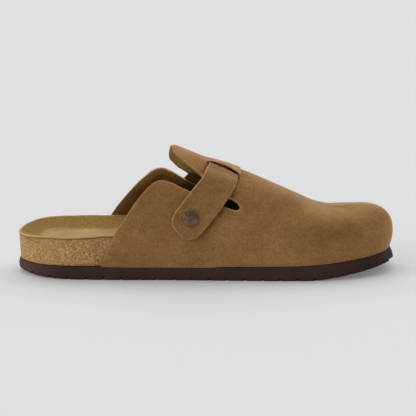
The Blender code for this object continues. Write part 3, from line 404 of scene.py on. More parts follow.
class Look:
    """A node material, built with short calls."""

    def __init__(self, name, **sockets):
        self.material = bpy.data.materials.new(name)
        self.material.use_nodes = True
        self.tree = self.material.node_tree
        self.shader = self.tree.nodes["Principled BSDF"]
        for key, value in sockets.items():
            self.shader.inputs[key.replace("_", " ")].default_value = value

    def node(self, kind, **settings):
        made = self.tree.nodes.new(kind)
        for key, value in settings.items():
            if key in made.inputs:
                made.inputs[key].default_value = value
            else:
                setattr(made, key, value)
        return made

    def link(self, a, b):
        self.tree.links.new(a, b)

    def coords(self, scale=(1, 1, 1), turn=(0, 0, 0)):
        at = self.node("ShaderNodeTexCoord")
        shift = self.node("ShaderNodeMapping")
        shift.inputs["Scale"].default_value = scale
        shift.inputs["Rotation"].default_value = turn
        self.link(at.outputs["Object"], shift.inputs["Vector"])
        return shift.outputs["Vector"]

    def noise(self, vector, scale, detail=3.0, rough=0.5, distortion=0.0):
        n = self.node("ShaderNodeTexNoise")
        n.inputs["Scale"].default_value = scale
        n.inputs["Detail"].default_value = detail
        n.inputs["Roughness"].default_value = rough
        n.inputs["Distortion"].default_value = distortion
        self.link(vector, n.inputs["Vector"])
        return n.outputs["Fac"]

    def cells(self, vector, scale, output="Color", feature="F1", randomness=1.0):
        n = self.node("ShaderNodeTexVoronoi", feature=feature)
        n.inputs["Scale"].default_value = scale
        n.inputs["Randomness"].default_value = randomness
        self.link(vector, n.inputs["Vector"])
        return n.outputs[output]

    def ramp(self, value, *stops):
        n = self.node("ShaderNodeValToRGB")
        band = n.color_ramp
        while len(band.elements) < len(stops):
            band.elements.new(0.5)
        for element, (at, colour) in zip(band.elements, stops):
            element.position = at
            element.color = colour if len(colour) == 4 else (*colour, 1)
        self.link(value, n.inputs["Fac"])
        return n.outputs["Color"]

    def mix(self, share, a, b, blend="MIX"):
        n = self.node("ShaderNodeMix", data_type="RGBA", blend_type=blend)
        for value, socket in ((share, n.inputs[0]), (a, n.inputs[6]), (b, n.inputs[7])):
            if hasattr(value, "is_linked"):
                self.link(value, socket)
            else:
                socket.default_value = value
        return n.outputs[2]

    def math(self, operation, a, b=0.0):
        n = self.node("ShaderNodeMath", operation=operation)
        for value, socket in ((a, n.inputs[0]), (b, n.inputs[1])):
            if hasattr(value, "is_linked"):
                self.link(value, socket)
            else:
                socket.default_value = value
        return n.outputs[0]

    def grey(self, value, low, high, out_low=0.0, out_high=1.0):
        n = self.node("ShaderNodeMapRange")
        n.inputs["From Min"].default_value = low
        n.inputs["From Max"].default_value = high
        n.inputs["To Min"].default_value = out_low
        n.inputs["To Max"].default_value = out_high
        self.link(value, n.inputs["Value"])
        return n.outputs["Result"]

    def attribute(self, name):
        n = self.node("ShaderNodeAttribute", attribute_name=name)
        return n.outputs["Fac"]

    def bump(self, height, distance, strength=1.0, onto=None):
        n = self.node("ShaderNodeBump")
        n.inputs["Distance"].default_value = distance
        n.inputs["Strength"].default_value = strength
        self.link(height, n.inputs["Height"])
        if onto is not None:
            self.link(onto, n.inputs["Normal"])
        return n.outputs["Normal"]

    def finish(self, colour=None, roughness=None, normal=None):
        for value, name in ((colour, "Base Color"), (roughness, "Roughness"), (normal, "Normal")):
            if value is not None:
                self.link(value, self.shader.inputs[name])
        return self.material


def suede(name, dark, mid, light, nap_and_painted_shade=1.0, mask=None, tone_there=None, deep=None, patches=False):
    """Napped suede: soft clouds, brushed patches, short fibres."""
    look = Look(name, Sheen_Weight=0.75, Sheen_Roughness=0.33, Specular_IOR_Level=0.12)
    look.shader.inputs["Sheen Tint"].default_value = srgb(236, 208, 168)
    cloud = look.noise(look.coords(), 24.0, 3.0, 0.55, 0.5)
    brushed_and_painted_shade = look.noise(look.coords((1.0, 1.0, 1.9), (0, 0.55, 0)), 105.0, 4.0, 0.62, 0.9)
    speck = look.noise(look.coords(), 760.0, 2.0, 0.6)
    fibre = look.noise(look.coords((1.0, 1.0, 2.2), (0, 0.5, 0)), 1700.0, 2.0, 0.7)
    tone = look.ramp(cloud, (0.30, dark), (0.50, mid), (0.72, light))
    tone2 = look.ramp(brushed_and_painted_shade, (0.28, dark), (0.50, mid), (0.74, light))
    base = look.mix(0.5, tone, tone2)
    # painted shade: the upper's patch layer darkens the colour where light falls off on its sides
    if patches:
        base = look.mix(look.attribute("brushed_and_painted_shade"), base, look.mix(1.0, base, (0.66, 0.65, 0.62, 1), "MULTIPLY"))
    # a lighter tone where the mask says: pale raw edges with painted highlight, or painted light
    if mask:
        base = look.mix(look.attribute(mask), base, tone_there)
    # painted shade: the "deep" layer darkens the colour toward the given tone
    if deep:
        base = look.mix(look.attribute("deep"), base, deep)
    fine = look.ramp(speck, (0.30, (0.80, 0.785, 0.77)), (0.70, (1.19, 1.20, 1.20)))
    base = look.mix(1.0, base, fine, "MULTIPLY")
    hair = look.ramp(fibre, (0.30, (0.86, 0.85, 0.83)), (0.70, (1.13, 1.14, 1.15)))
    base = look.mix(1.0, base, hair, "MULTIPLY")
    rough = look.grey(speck, 0.3, 0.7, 0.84, 0.98)
    low = look.bump(brushed_and_painted_shade, 0.0004, 0.6 * nap_and_painted_shade)
    normal = look.bump(fibre, 0.00014, 0.6 * nap_and_painted_shade, look.bump(speck, 0.0002, 0.55 * nap_and_painted_shade, low))
    return look.finish(base, rough, normal)


def raw_edge(name, dark, light):
    """The cut edge of suede: pale packed fibres in thin layers, painted paler still for the light they catch, and
    painted darker where the "shade" layer marks shade.
    """
    look = Look(name, Specular_IOR_Level=0.1)
    fibre = look.noise(look.coords(), 1500.0, 3.0, 0.7)
    coarse = look.noise(look.coords(), 300.0, 2.0, 0.5)
    tone = look.ramp(look.mix(0.45, fibre, coarse), (0.35, dark), (0.65, light))
    tone = look.mix(look.attribute("shade"), tone, srgb(74, 50, 28))
    rough = look.grey(fibre, 0.3, 0.7, 0.85, 0.98)
    return look.finish(tone, rough, look.bump(fibre, 0.0002, 0.6))


# the upper's "rim" tone: the raw edges' own paler fibres and painted highlight along the lit edges and on the tops
SUEDE = suede("suede_brown", srgb(136, 98, 56), srgb(155, 114, 67), srgb(173, 131, 82), 1.0, "rim", srgb(206, 162, 108), None, True)
# the strap's "rim" tone is a painted highlight along its lit edges, its "deep" tone painted shade under the keeper
SUEDE_STRAP = suede("suede_strap", srgb(130, 93, 54), srgb(151, 111, 67), srgb(174, 132, 85), 2.1, "rim", srgb(214, 170, 116), srgb(26, 15, 8))
# near-black suede without sheen: painted shadow on the strap where it turns under the keeper
SUEDE_PAINTED_SHADOW = suede("suede_painted_shadow", srgb(24, 14, 8), srgb(32, 19, 10), srgb(40, 25, 13), 0.6)
SUEDE_PAINTED_SHADOW.node_tree.nodes["Principled BSDF"].inputs["Sheen Weight"].default_value = 0.0
# the keeper's suede is a lighter copy of the upper's: painted light on the raised keeper
SUEDE_KEEPER_PAINTED_LIGHT = suede("suede_keeper_painted_light", srgb(150, 113, 70), srgb(172, 132, 85), srgb(192, 152, 104), 1.2)
# the inner face: its "open" tone is painted light on the tongue's underside and near the cut edges, its "deep" tone
# painted shade inside the shoe
INNER = suede("suede_inner", srgb(92, 60, 28), srgb(111, 75, 37), srgb(132, 93, 50), 1.4, "open", srgb(214, 176, 116), srgb(26, 15, 7))
EDGE = raw_edge("suede_edge", srgb(176, 134, 86), srgb(236, 196, 144))


def liner_look():
    """Thin suede on the footbed: plain on the floor, streaked and painted darker up the wall as shade, painted darker
    still at the heel as shade, pale along the rolled lip.
    """
    look = Look("suede_liner", Sheen_Weight=0.16, Sheen_Roughness=0.5, Specular_IOR_Level=0.12)
    look.shader.inputs["Sheen Tint"].default_value = srgb(200, 175, 125)
    cloud = look.noise(look.coords(), 30.0, 3.0, 0.55, 0.4)
    streak = look.noise(look.coords((1.0, 1.0, 0.16)), 620.0, 3.0, 0.6, 0.2)
    speck = look.noise(look.coords(), 700.0, 2.0, 0.6)
    fibre = look.noise(look.coords(), 1500.0, 2.0, 0.65)
    tone = look.ramp(cloud, (0.30, srgb(163, 132, 83)), (0.52, srgb(179, 147, 95)), (0.75, srgb(195, 163, 110)))
    side = look.ramp(streak, (0.30, srgb(146, 112, 60)), (0.50, srgb(164, 128, 72)), (0.72, srgb(180, 144, 86)))
    # painted shade: the wall's tone is darker than the floor's, and darker again toward the heel
    base = look.mix(look.attribute("wall"), tone, side)
    base = look.mix(look.attribute("heel"), base, srgb(126, 97, 52))
    base = look.mix(look.attribute("lip"), base, srgb(202, 167, 116))
    fine = look.ramp(look.mix(0.5, speck, fibre), (0.34, (0.86, 0.85, 0.83)), (0.66, (1.13, 1.13, 1.13)))
    base = look.mix(1.0, base, fine, "MULTIPLY")
    rough = look.grey(fibre, 0.3, 0.7, 0.86, 0.98)
    normal = look.bump(fibre, 0.00012, 0.5, look.bump(streak, 0.0002, 0.35))
    return look.finish(base, rough, normal)


def cork_look():
    """Pressed cork: packed granules of several tones, with dark bark specks and small pits."""
    look = Look("cork", Specular_IOR_Level=0.35, Coat_Weight=0.06, Coat_Roughness=0.45)
    warp = look.noise(look.coords(), 240.0, 2.0, 0.5)
    at = look.node("ShaderNodeVectorMath", operation="ADD")
    spread = look.node("ShaderNodeVectorMath", operation="SCALE")
    spread.inputs["Scale"].default_value = 0.0010
    look.link(warp, spread.inputs[0])
    look.link(look.coords(), at.inputs[0])
    look.link(spread.outputs[0], at.inputs[1])
    where = at.outputs[0]
    coarse = look.cells(where, 880.0)
    fine = look.cells(where, 1750.0)
    first = look.node("ShaderNodeSeparateColor")
    look.link(coarse, first.inputs[0])
    second = look.node("ShaderNodeSeparateColor")
    look.link(fine, second.inputs[0])
    grain = look.ramp(first.outputs[0], (0.0, srgb(146, 104, 60)), (0.22, srgb(176, 133, 80)), (0.55, srgb(196, 151, 95)),
                      (0.82, srgb(214, 168, 108)), (1.0, srgb(236, 192, 126)))
    small = look.ramp(second.outputs[0], (0.0, srgb(112, 76, 48)), (0.14, srgb(168, 124, 76)), (0.6, srgb(196, 151, 97)),
                      (0.88, srgb(228, 184, 114)), (1.0, srgb(255, 220, 142)))
    base = look.mix(0.5, grain, small)
    dark = look.math("GREATER_THAN", second.outputs[1], 0.945)
    base = look.mix(dark, base, srgb(104, 74, 52))
    patch = look.noise(look.coords(), 42.0, 2.0, 0.5)
    base = look.mix(1.0, base, look.ramp(patch, (0.3, (0.90, 0.89, 0.87)), (0.7, (1.08, 1.08, 1.06))), "MULTIPLY")
    seams = look.cells(where, 880.0, "Distance", "DISTANCE_TO_EDGE")
    height = look.math("ADD", look.grey(seams, 0.0, 0.12), look.math("MULTIPLY", first.outputs[2], 0.5))
    rough = look.grey(second.outputs[2], 0.0, 1.0, 0.55, 0.8)
    return look.finish(base, rough, look.bump(height, 0.00016, 0.6))


def sole_look():
    look = Look("foam_rubber", Specular_IOR_Level=0.22)
    skin = look.noise(look.coords(), 1300.0, 3.0, 0.6)
    broad = look.noise(look.coords((1, 1, 0.35)), 70.0, 2.0, 0.5)
    base = look.ramp(broad, (0.3, srgb(60, 40, 37)), (0.7, srgb(71, 48, 44)))
    # painted light on the heel end and painted shade at the toe, under the toe spring
    base = look.mix(look.attribute("painted_light_at_heel"), base, srgb(98, 72, 66))
    base = look.mix(look.attribute("dark"), base, srgb(30, 19, 18))
    base = look.mix(1.0, base, look.ramp(skin, (0.3, (0.85, 0.85, 0.86)), (0.7, (1.14, 1.14, 1.14))), "MULTIPLY")
    rough = look.grey(skin, 0.3, 0.7, 0.6, 0.8)
    return look.finish(base, rough, look.bump(skin, 0.00012, 0.5))


def rivet_look():
    look = Look("aged_copper", Metallic=0.85, Specular_IOR_Level=0.5)
    cloud = look.noise(look.coords(), 260.0, 3.0, 0.6)
    scratch = look.noise(look.coords((1, 1, 6), (0.4, 0.2, 0.7)), 1500.0, 2.0, 0.6)
    base = look.ramp(cloud, (0.3, srgb(104, 76, 64)), (0.7, srgb(142, 108, 92)))
    rough = look.grey(look.mix(0.5, cloud, scratch), 0.3, 0.7, 0.24, 0.38)
    return look.finish(base, rough, look.bump(scratch, 0.00003, 0.35))


LINER_LOOK = liner_look()
CORK = cork_look()
SOLE = sole_look()
COPPER = rivet_look()


# ---------------------------------------------------------------- outsole, footbed, liner
def ring_shares(count):
    t = np.linspace(0, 1, count)
    return t - 0.035 * np.sin(2 * np.pi * t)


SHARES = ring_shares(181)


def full_ring(curves, height):
    ring = []
    for side in (-1, 1):
        p = sampled(curves[side], SHARES)
        p = np.column_stack([p, height(p, side)])
        ring.append(p if side < 0 else p[::-1][1:-1])
    return np.vstack(ring)


def ring_faces(rings, count):
    return [(r * count + i, r * count + (i + 1) % count, (r + 1) * count + (i + 1) % count, (r + 1) * count + i)
            for r in range(rings - 1) for i in range(count)]


def across(start, count):
    half = count // 2
    faces = [(start, start + 1, start + count - 1)]
    faces += [(start + i, start + i + 1, start + count - i - 1, start + count - i) for i in range(1, half - 1)]
    faces += [(start + half - 1, start + half, start + half + 1)]
    return faces


def make_outsole():
    def level(share):
        return lambda p, side: (1 - share) * read(SOLE_BOTTOM, "height", p[:, 0]) + share * read(SOLE_TOP, "height", p[:, 0])

    def edge(low, high, bulge):
        return {s: inset(s, low * read(SOLE_BOTTOM, "inset", SIDES[s][:, 0])
                         + high * read(SOLE_TOP, "inset", SIDES[s][:, 0]) - bulge) for s in (-1, 1)}

    steps = [(edge(1, 0, -0.55), 0.0), (edge(1, 0, -0.2), 0.02), (edge(0.95, 0, 0), 0.055), (edge(0.7, 0.05, 0), 0.14),
             (edge(0.35, 0.2, 0), 0.32), (edge(0.15, 0.3, 0), 0.5), (edge(0.05, 0.55, 0), 0.7), (edge(0, 0.8, 0), 0.88),
             (edge(0, 0.95, 0), 0.96), (edge(0, 1, -0.1), 0.992), (edge(0, 1, -0.4), 1.0)]
    rings = [full_ring(curve, level(share)) for curve, share in steps]
    count = len(rings[0])
    faces = ring_faces(len(rings), count) + across(0, count) + across((len(rings) - 1) * count, count)
    obj = mesh_object("outsole_skin", np.vstack(rings), faces, SOLE)
    face_outwards(obj)
    points, faces = [], []
    for k in range(21):
        station = FIRST_CHANNEL + CHANNEL_PITCH * k
        if station > LENGTH - 6:
            break
        low = float(read(SOLE_BOTTOM, "height", station))
        rise = float(follow(SOLE_BOTTOM["station"], SOLE_BOTTOM["height"], station, slope=True))
        up, along = np.array((-rise, 0, 1)), np.array((1, 0, rise))
        up, along = up / np.linalg.norm(up), along / np.linalg.norm(along)
        edge = {side: float(np.interp(station, SIDES[side][:, 0], SIDES[side][:, 1])) for side in (-1, 1)}
        span = edge[1] - edge[-1]
        waves = max(1, round(span / 17.0))
        # a short mouth in each edge, a thin rib behind it, and the long wave between
        for first, last, count in ((edge[-1] - 3.0, edge[-1] + 2.0, 4), (edge[-1] + 3.1, edge[1] - 3.1, 97), (edge[1] - 2.0, edge[1] + 3.0, 4)):
            wide, tall = (1.2, 1.12) if count == 4 else (1.0, 0.95)
            start = len(points)
            for y in np.linspace(first, last, count):
                share = (min(max(y, edge[-1]), edge[1]) - edge[-1]) / span
                sway = 2.1 * math.sin(2 * math.pi * waves * share)
                for a, h in ((-0.5, -0.6), (0.5, -0.6), (0.42, tall), (-0.42, tall)):
                    points.append(np.array((station, y, low)) + along * (sway + a * wide * CHANNEL_WIDTH) + up * h * CHANNEL_DEPTH)
            faces.append(tuple(start + i for i in (3, 2, 1, 0)))
            for r in range(count - 1):
                for i in range(4):
                    j = (i + 1) % 4
                    faces.append((start + r * 4 + i, start + r * 4 + j, start + r * 4 + 4 + j, start + r * 4 + 4 + i))
            faces.append(tuple(start + (count - 1) * 4 + i for i in (0, 1, 2, 3)))
    start = len(points)
    for x, y, h in [(x, y, h) for x in (281.4, 292.0) for y in (-60, 60) for h in (-3.0, 1.7)]:
        points.append(np.array((x, y, float(read(SOLE_BOTTOM, "height", 281.4)) - 0.2 * (x - 281.4) + h)))
    faces += [tuple(start + i for i in f) for f in ((0, 1, 3, 2), (4, 6, 7, 5), (0, 4, 5, 1), (2, 3, 7, 6), (0, 2, 6, 4), (1, 5, 7, 3))]
    mesh = bpy.data.meshes.new("tread_channels")
    mesh.from_pydata(in_place(points).tolist(), [], faces)
    cutter = bpy.data.objects.new("tread_channels", mesh)
    PIECES.objects.link(cutter)
    face_outwards(cutter)
    mod = obj.modifiers.new("channels", "BOOLEAN")
    mod.operation = "DIFFERENCE"
    mod.solver = "EXACT"
    mod.object = cutter
    bpy.context.view_layer.update()
    evaluated(obj)
    bpy.data.objects.remove(cutter)
    flat = np.zeros(len(obj.data.vertices) * 3, np.float32)
    obj.data.vertices.foreach_get("co", flat)
    along = flat.reshape(-1, 3)[:, 0] * 1000 + ORIGIN[0]
    # painted light toward the heel, painted shade toward the toe
    for key, values in (("painted_light_at_heel", 0.42 * ramp((34.0 - along) / 26.0)), ("dark", 0.5 * ramp((along - 236.0) / 36.0))):
        obj.data.attributes.new(key, "FLOAT", "POINT").data.foreach_set("value", values.astype(np.float32))
    obj.data.shade_smooth()
    obj.data.set_sharp_from_angle(angle=math.radians(38))
    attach(obj, "root")
    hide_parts("outsole")
    return obj


def covered(station):
    return ramp((station - 55.0) / 9.0)


def side_inset(side, height_share, down):
    p = SIDES[side]
    station = p[:, 0]
    rim = read(FOOTBED, "rim" + ("_m" if side < 0 else "_l"), station) - down
    z = read(SOLE_TOP, "height", station) + GAP + height_share * (rim - read(SOLE_TOP, "height", station) - GAP)
    heel = (1 - height_share) * read(HEEL_SIDE, "low", station) + height_share * read(HEEL_SIDE, "rim", station)
    foot_gap = read(SOLE_TOP, "inset", station) + 0.1
    out = []
    kept = np.arange(0, len(p), 5)
    for i in kept:
        k = covered(station[i])
        if k <= 0:
            out.append(heel[i])
            continue
        curve, _ = rib(side, foot_point(FOOT[side][i]))
        low = curve[::-1]
        stop = np.argmax(low[:, 2] > z[i]) or 1
        lean = np.linalg.norm(low[stop, :2] - low[0, :2])
        away = np.linalg.norm(low[stop, :2] - curve[0, :2]) - np.linalg.norm(low[0, :2] - curve[0, :2])
        inwards = -lean if away > 0 else lean
        inner = foot_gap[i] + inwards + UPPER_WALL * 1.12 + GAP + 0.25
        out.append((1 - k) * heel[i] + k * max(inner, foot_gap[i] + UPPER_WALL + GAP))
    return np.interp(np.arange(len(p)), kept, out)


def arch(station, side_at):
    """Rise of the floor under the inner arch of the foot."""
    return 2.6 * np.exp(-((station - 108.0) / 30.0)**2 - ((side_at + 17.0) / 13.0)**2)


def bed_rings(drop, outer, steps):
    rings = []
    spine = {}
    rim_curve = {s: inset(s, outer[s]) for s in (-1, 1)}
    for side in (-1, 1):
        p = sampled(rim_curve[side], SHARES)
        mid = np.clip(p[:, 0], 36.0, 236.0)
        both = [np.interp(mid, rim_curve[s][:, 0], rim_curve[s][:, 1]) for s in (-1, 1)]
        spine[side] = np.column_stack([mid, (both[0] + both[1]) / 2])
    for step in steps:
        parts = []
        for side in (-1, 1):
            p = sampled(rim_curve[side], SHARES)
            q = p + (spine[side] - p) * step
            deep = np.linalg.norm(q - p, axis=1)
            station = (1 - step) * p[:, 0] + step * spine[side][:, 0]
            rim = read(FOOTBED, "rim" + ("_m" if side < 0 else "_l"), p[:, 0])
            spread = read(FOOTBED, "spread", p[:, 0])
            wall = np.clip(1 - deep / spread, 0, 1)**1.15
            floor = read(FOOTBED, "floor", station)
            z = floor + (rim - floor) * wall + (1 - wall) * arch(station, q[:, 1]) - drop
            q = np.column_stack([q, z])
            parts.append(q if side < 0 else q[::-1][1:-1])
        rings.append(np.vstack(parts))
    return rings


def spine_faces(start, count, spine_start):
    half = count // 2
    faces = []
    for i in range(half):
        faces.append((start + i, start + i + 1, spine_start + i + 1, spine_start + i))
    for i in range(half):
        a, b = start + (count - i) % count, start + count - i - 1
        faces.append((b, a, spine_start + i, spine_start + i + 1))
    return faces


def spine_points(ring_step_one, count):
    half = count // 2
    out = []
    for i in range(half + 1):
        j = (count - i) % count
        out.append((ring_step_one[i] + ring_step_one[j]) / 2)
    return np.array(out)


def make_footbed_and_liner():
    drop = LINER + GAP
    shares = (0.0, 0.04, 0.2, 0.4, 0.6, 0.8, 0.93)
    sides = {share: {s: side_inset(s, share, drop) for s in (-1, 1)} for share in shares}
    rim_in = {s: sides[0.93][s] + 1.4 for s in (-1, 1)}
    steps = tuple(np.concatenate([np.linspace(0.02, 0.62, 37), np.linspace(0.68, 0.92, 5)]))

    def side_level(share):
        def height(p, side):
            rim = read(FOOTBED, "rim" + ("_m" if side < 0 else "_l"), p[:, 0]) - drop
            low = read(SOLE_TOP, "height", p[:, 0]) + GAP
            return low + share * (rim - low)
        return height

    rings = [full_ring({s: inset(s, sides[share][s] + (0.25 if share == 0.0 else 0)) for s in (-1, 1)}, side_level(share)) for share in shares]
    rings.append(full_ring({s: inset(s, sides[0.93][s] + 0.18) for s in (-1, 1)}, side_level(0.98)))
    rings.append(full_ring({s: inset(s, sides[0.93][s] + 0.5) for s in (-1, 1)}, side_level(1.0)))
    rings.append(full_ring({s: inset(s, rim_in[s]) for s in (-1, 1)}, side_level(1.0)))
    rings += bed_rings(drop, rim_in, steps)
    count = len(rings[0])
    middle = spine_points(bed_rings(drop, rim_in, (1.0,))[0], count)
    faces = (ring_faces(len(rings), count) + across(0, count)
             + spine_faces((len(rings) - 1) * count, count, len(rings) * count))
    obj = mesh_object("footbed_cork", np.vstack(rings + [middle]), faces, CORK)
    weld(obj)
    face_outwards(obj)
    obj.data.shade_smooth()
    obj.data.set_sharp_from_angle(angle=math.radians(50))
    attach(obj, "root")
    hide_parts("footbed")

    # the liner, with a rolled lip that just overhangs the cork's rim and waves a little
    run = np.arange(len(full_ring({s: inset(s, rim_in[s]) for s in (-1, 1)}, side_level(1.0))))
    wave = 0.16 * np.sin(run * 0.31) + 0.11 * np.sin(run * 0.83 + 1.3) + 0.07 * np.sin(run * 1.7 + 0.4)

    def lip(extra, up, waved=1.0):
        ring = full_ring({s: inset(s, sides[0.93][s] + extra) for s in (-1, 1)},
                         lambda p, s: side_level(1.0)(p, s) + GAP + up)
        ring[:, 2] += wave * waved * 0.6
        return ring

    low = [lip(-0.15, 0.35), lip(0.1, 0.1), lip(0.5, 0.0, 0.0)]
    low.append(full_ring({s: inset(s, rim_in[s]) for s in (-1, 1)}, lambda p, s: side_level(1.0)(p, s) + GAP))
    low += bed_rings(drop - GAP, rim_in, steps)
    low_mid = spine_points(bed_rings(drop - GAP, rim_in, (1.0,))[0], count)
    high = [lip(-0.25, 0.7), lip(-0.15, 1.05), lip(0.15, 1.35), lip(0.6, LINER), lip(1.0, LINER, 0.5)]
    high += bed_rings(0.0, rim_in, steps)
    high_mid = spine_points(bed_rings(0.0, rim_in, (1.0,))[0], count)
    down = low[::-1]
    stack = [low_mid] + down + high + [high_mid]
    base = len(low_mid)
    total = len(down) + len(high)
    faces = [tuple(f) for f in spine_faces(base, count, 0)]
    faces += [tuple(base + i for i in f) for f in ring_faces(total, count)]
    faces += spine_faces(base + (total - 1) * count, count, base + total * count)
    obj = mesh_object("liner_suede", np.vstack(stack), faces, LINER_LOOK)
    tall = []
    for side in (-1, 1):
        p = sampled(SIDES[side], SHARES)
        tall.append(read(FOOTBED, "spread", p[:, 0]) if side < 0 else read(FOOTBED, "spread", p[:, 0])[::-1][1:-1])
    tall = np.concatenate(tall)
    steep, edge = [], []
    for up, inwards in [(0, 0.0)] * len(down) + [(0.4, 0.0), (0.8, 0.0), (1.0, 0.0), (1.0, 0.0), (0.6, 0.6)] + [(0.1 if k == 0 else 0, None) for k in range(len(steps))]:
        k = len(steep) - len(down) - 5
        if inwards is None:
            q = np.concatenate([np.linalg.norm(a, axis=1) for a in
                                [np.linalg.norm(high[5 + k][:, :2] - high[4][:, :2], axis=1)[:, None]]])
            at = high[5 + k][:, 0]
            steep.append(1 - ramp((q / tall - 0.875 + 0.2 * ramp((48.0 - at) / 26.0)) / 0.085))
        else:
            steep.append(np.full(count, inwards))
        edge.append(np.full(count, float(up)))
    steep = np.concatenate([np.zeros(len(low_mid))] + steep + [np.zeros(len(high_mid))])
    edge = np.concatenate([np.zeros(len(low_mid))] + edge + [np.zeros(len(high_mid))])
    back = np.vstack(stack)
    # painted shade on the liner's wall at the heel
    heel = 0.5 * steep * ramp((34.0 - back[:, 0]) / 26.0)
    for name, values in (("wall", steep), ("lip", edge), ("heel", heel)):
        obj.data.attributes.new(name, "FLOAT", "POINT").data.foreach_set("value", values.astype(np.float32))
    weld(obj)
    face_outwards(obj)
    obj.data.shade_smooth()
    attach(obj, "root")
    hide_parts("insole")


# ---------------------------------------------------------------- upper
def spaced(points, step):
    p = np.array(points, float)
    run = np.concatenate([[0], np.cumsum(np.linalg.norm(np.diff(p, axis=0), axis=1))])
    fine = np.linspace(0, run[-1], 800)
    curve = np.stack([follow(run, p[:, i], fine) for i in range(2)], 1)
    length = np.concatenate([[0], np.cumsum(np.linalg.norm(np.diff(curve, axis=0), axis=1))])
    count = max(2, int(round(length[-1] / step)) + 1)
    return sampled(curve, np.linspace(0, 1, count))


def rows_of(rows, side=1):
    return [(a, side * b) for a, b in zip(rows["station"], rows["down"])]


def pattern_outline(step, cut_step, join_downs):
    def feather(side, rear):
        stations = np.arange(JOIN, rear, -step)[1:]
        if stations[-1] - rear < 0.5 * step:
            stations = stations[:-1]
        return [(s, foot_down(side, s)) for s in stations]

    rear_m, rear_l = 62.3, 62.3
    outline = [(JOIN, d) for d in join_downs]
    outline += feather(1, rear_l)
    lateral = [(rear_l, foot_down(1, rear_l))] + rows_of(QUARTER_LATERAL)
    outline += list(map(tuple, spaced(lateral, step)))
    outline += list(map(tuple, spaced([rows_of(QUARTER_LATERAL)[-1]] + rows_of(CUT_END_LATERAL)
                                      + [rows_of(TONGUE_LATERAL)[-1]], cut_step)))[1:]
    outline += list(map(tuple, spaced(rows_of(TONGUE_LATERAL)[::-1], step)))[1:]
    rear = [rows_of(TONGUE_LATERAL)[0]] + rows_of(TONGUE_REAR, -1)[::-1] + [rows_of(TONGUE_MEDIAL, -1)[-1]]
    outline += list(map(tuple, spaced(rear, step)))[1:]
    outline += list(map(tuple, spaced(rows_of(TONGUE_MEDIAL, -1)[::-1], step)))[1:]
    outline += list(map(tuple, spaced([rows_of(TONGUE_MEDIAL, -1)[0]] + rows_of(CUT_END_MEDIAL, -1)[::-1]
                                      + [rows_of(QUARTER_MEDIAL, -1)[-1]], cut_step)))[1:]
    medial = [(rear_m, foot_down(-1, rear_m))] + rows_of(QUARTER_MEDIAL, -1)
    outline += list(map(tuple, spaced(medial[::-1], step)))[1:]
    outline += feather(-1, rear_m)[::-1]
    return outline


def inside_all(points, outline):
    x, y = points[:, 0], points[:, 1]
    hit = np.zeros(len(points), bool)
    a = np.array(outline)
    b = np.roll(a, -1, 0)
    for (x1, y1), (x2, y2) in zip(a, b):
        if y1 == y2:
            continue
        crosses = ((y1 > y) != (y2 > y)) & (x < (x2 - x1) * (y - y1) / (y2 - y1) + x1)
        hit ^= crosses
    return hit


def edge_distances(points, outline):
    a = np.array(outline)
    b = np.roll(a, -1, 0)
    ab = b - a
    square = np.maximum((ab * ab).sum(1), 1e-9)
    out = np.empty(len(points))
    for k in range(0, len(points), 2000):
        p = points[k:k + 2000, None, :]
        t = np.clip(((p - a) * ab).sum(2) / square, 0, 1)
        out[k:k + 2000] = np.linalg.norm(a + ab * t[..., None] - p, axis=2).min(1)
    return out


STEP = 1.25


# soft troughs over the flex of the foot and behind the toe: station, height of the two ends, width, depth
CREASES = [
    (236.0, 28.0, 248.0, 39.0, 5.0, 0.28), (248.0, 24.0, 262.0, 35.0, 6.0, 0.26), (222.0, 26.0, 232.0, 38.0, 6.0, 0.22),
    (204.0, 28.0, 214.0, 43.0, 5.5, 0.22), (186.0, 34.0, 196.0, 56.0, 6.5, 0.20), (140.0, 18.0, 158.0, 27.0, 6.0, 0.24),
    (96.0, 22.0, 112.0, 30.0, 6.5, 0.26), (84.0, 36.0, 100.0, 30.0, 5.5, -0.20), (170.0, 22.0, 186.0, 30.0, 6.5, -0.22),
    (214.0, 18.0, 232.0, 24.0, 5.5, -0.22), (254.0, 38.0, 268.0, 30.0, 6.0, -0.22), (120.0, 28.0, 132.0, 44.0, 6.5, -0.18),
]


# patches of painted shade on the upper's sides, darker where light from above and behind falls off: station, height,
# half-length, half-height, strength
PAINTED_SHADE_PATCHES = [
    (245.0, 38.0, 18.0, 9.0, 0.72), (214.0, 36.0, 15.0, 10.0, 0.42), (274.0, 44.0, 8.0, 6.0, 0.30), (208.0, 58.0, 15.0, 8.0, 0.50),
    (236.0, 15.5, 18.0, 4.0, 0.26), (152.0, 24.0, 12.0, 6.0, 0.16), (104.0, 40.0, 9.0, 12.0, 0.14),
]


def painted_shade_on_upper(q):
    on = 0.0
    for x, z, long, tall, strength in PAINTED_SHADE_PATCHES:
        slant = (q[2] - z) * 0.35
        on += strength * math.exp(-((q[0] - x - slant) / long)**2 - ((q[2] - z) / tall)**2)
    return on * float(ramp((-q[1] + 4.0) / 12.0) + 0.6 * ramp((q[1] - 12.0) / 12.0))


def creased(points, normals):
    x, z = points[:, 0], points[:, 2]
    sink = np.zeros(len(points))
    for k, (x1, z1, x2, z2, width, depth) in enumerate(CREASES):
        for side in (-1, 1):
            slide = 0.0 if side < 0 else 5.0 * math.sin(2.3 * k + 0.7)
            dx, dz = x2 - x1, z2 - z1
            long = math.hypot(dx, dz)
            u = ((x - x1 - slide) * dx + (z - z1) * dz) / long**2
            v = ((x - x1 - slide) * dz - (z - z1) * dx) / long + 1.4 * np.sin(u * 4.0 + k)
            on = np.exp(-(v / (0.5 * width))**2) * ramp((u + 0.35) / 0.45) * ramp((1.35 - u) / 0.45)
            sink += depth * on * ramp((side * points[:, 1] - 4.0) / 12.0)
    return points - normals * (sink * ramp((z - 13.5) / 4.0))[:, None]


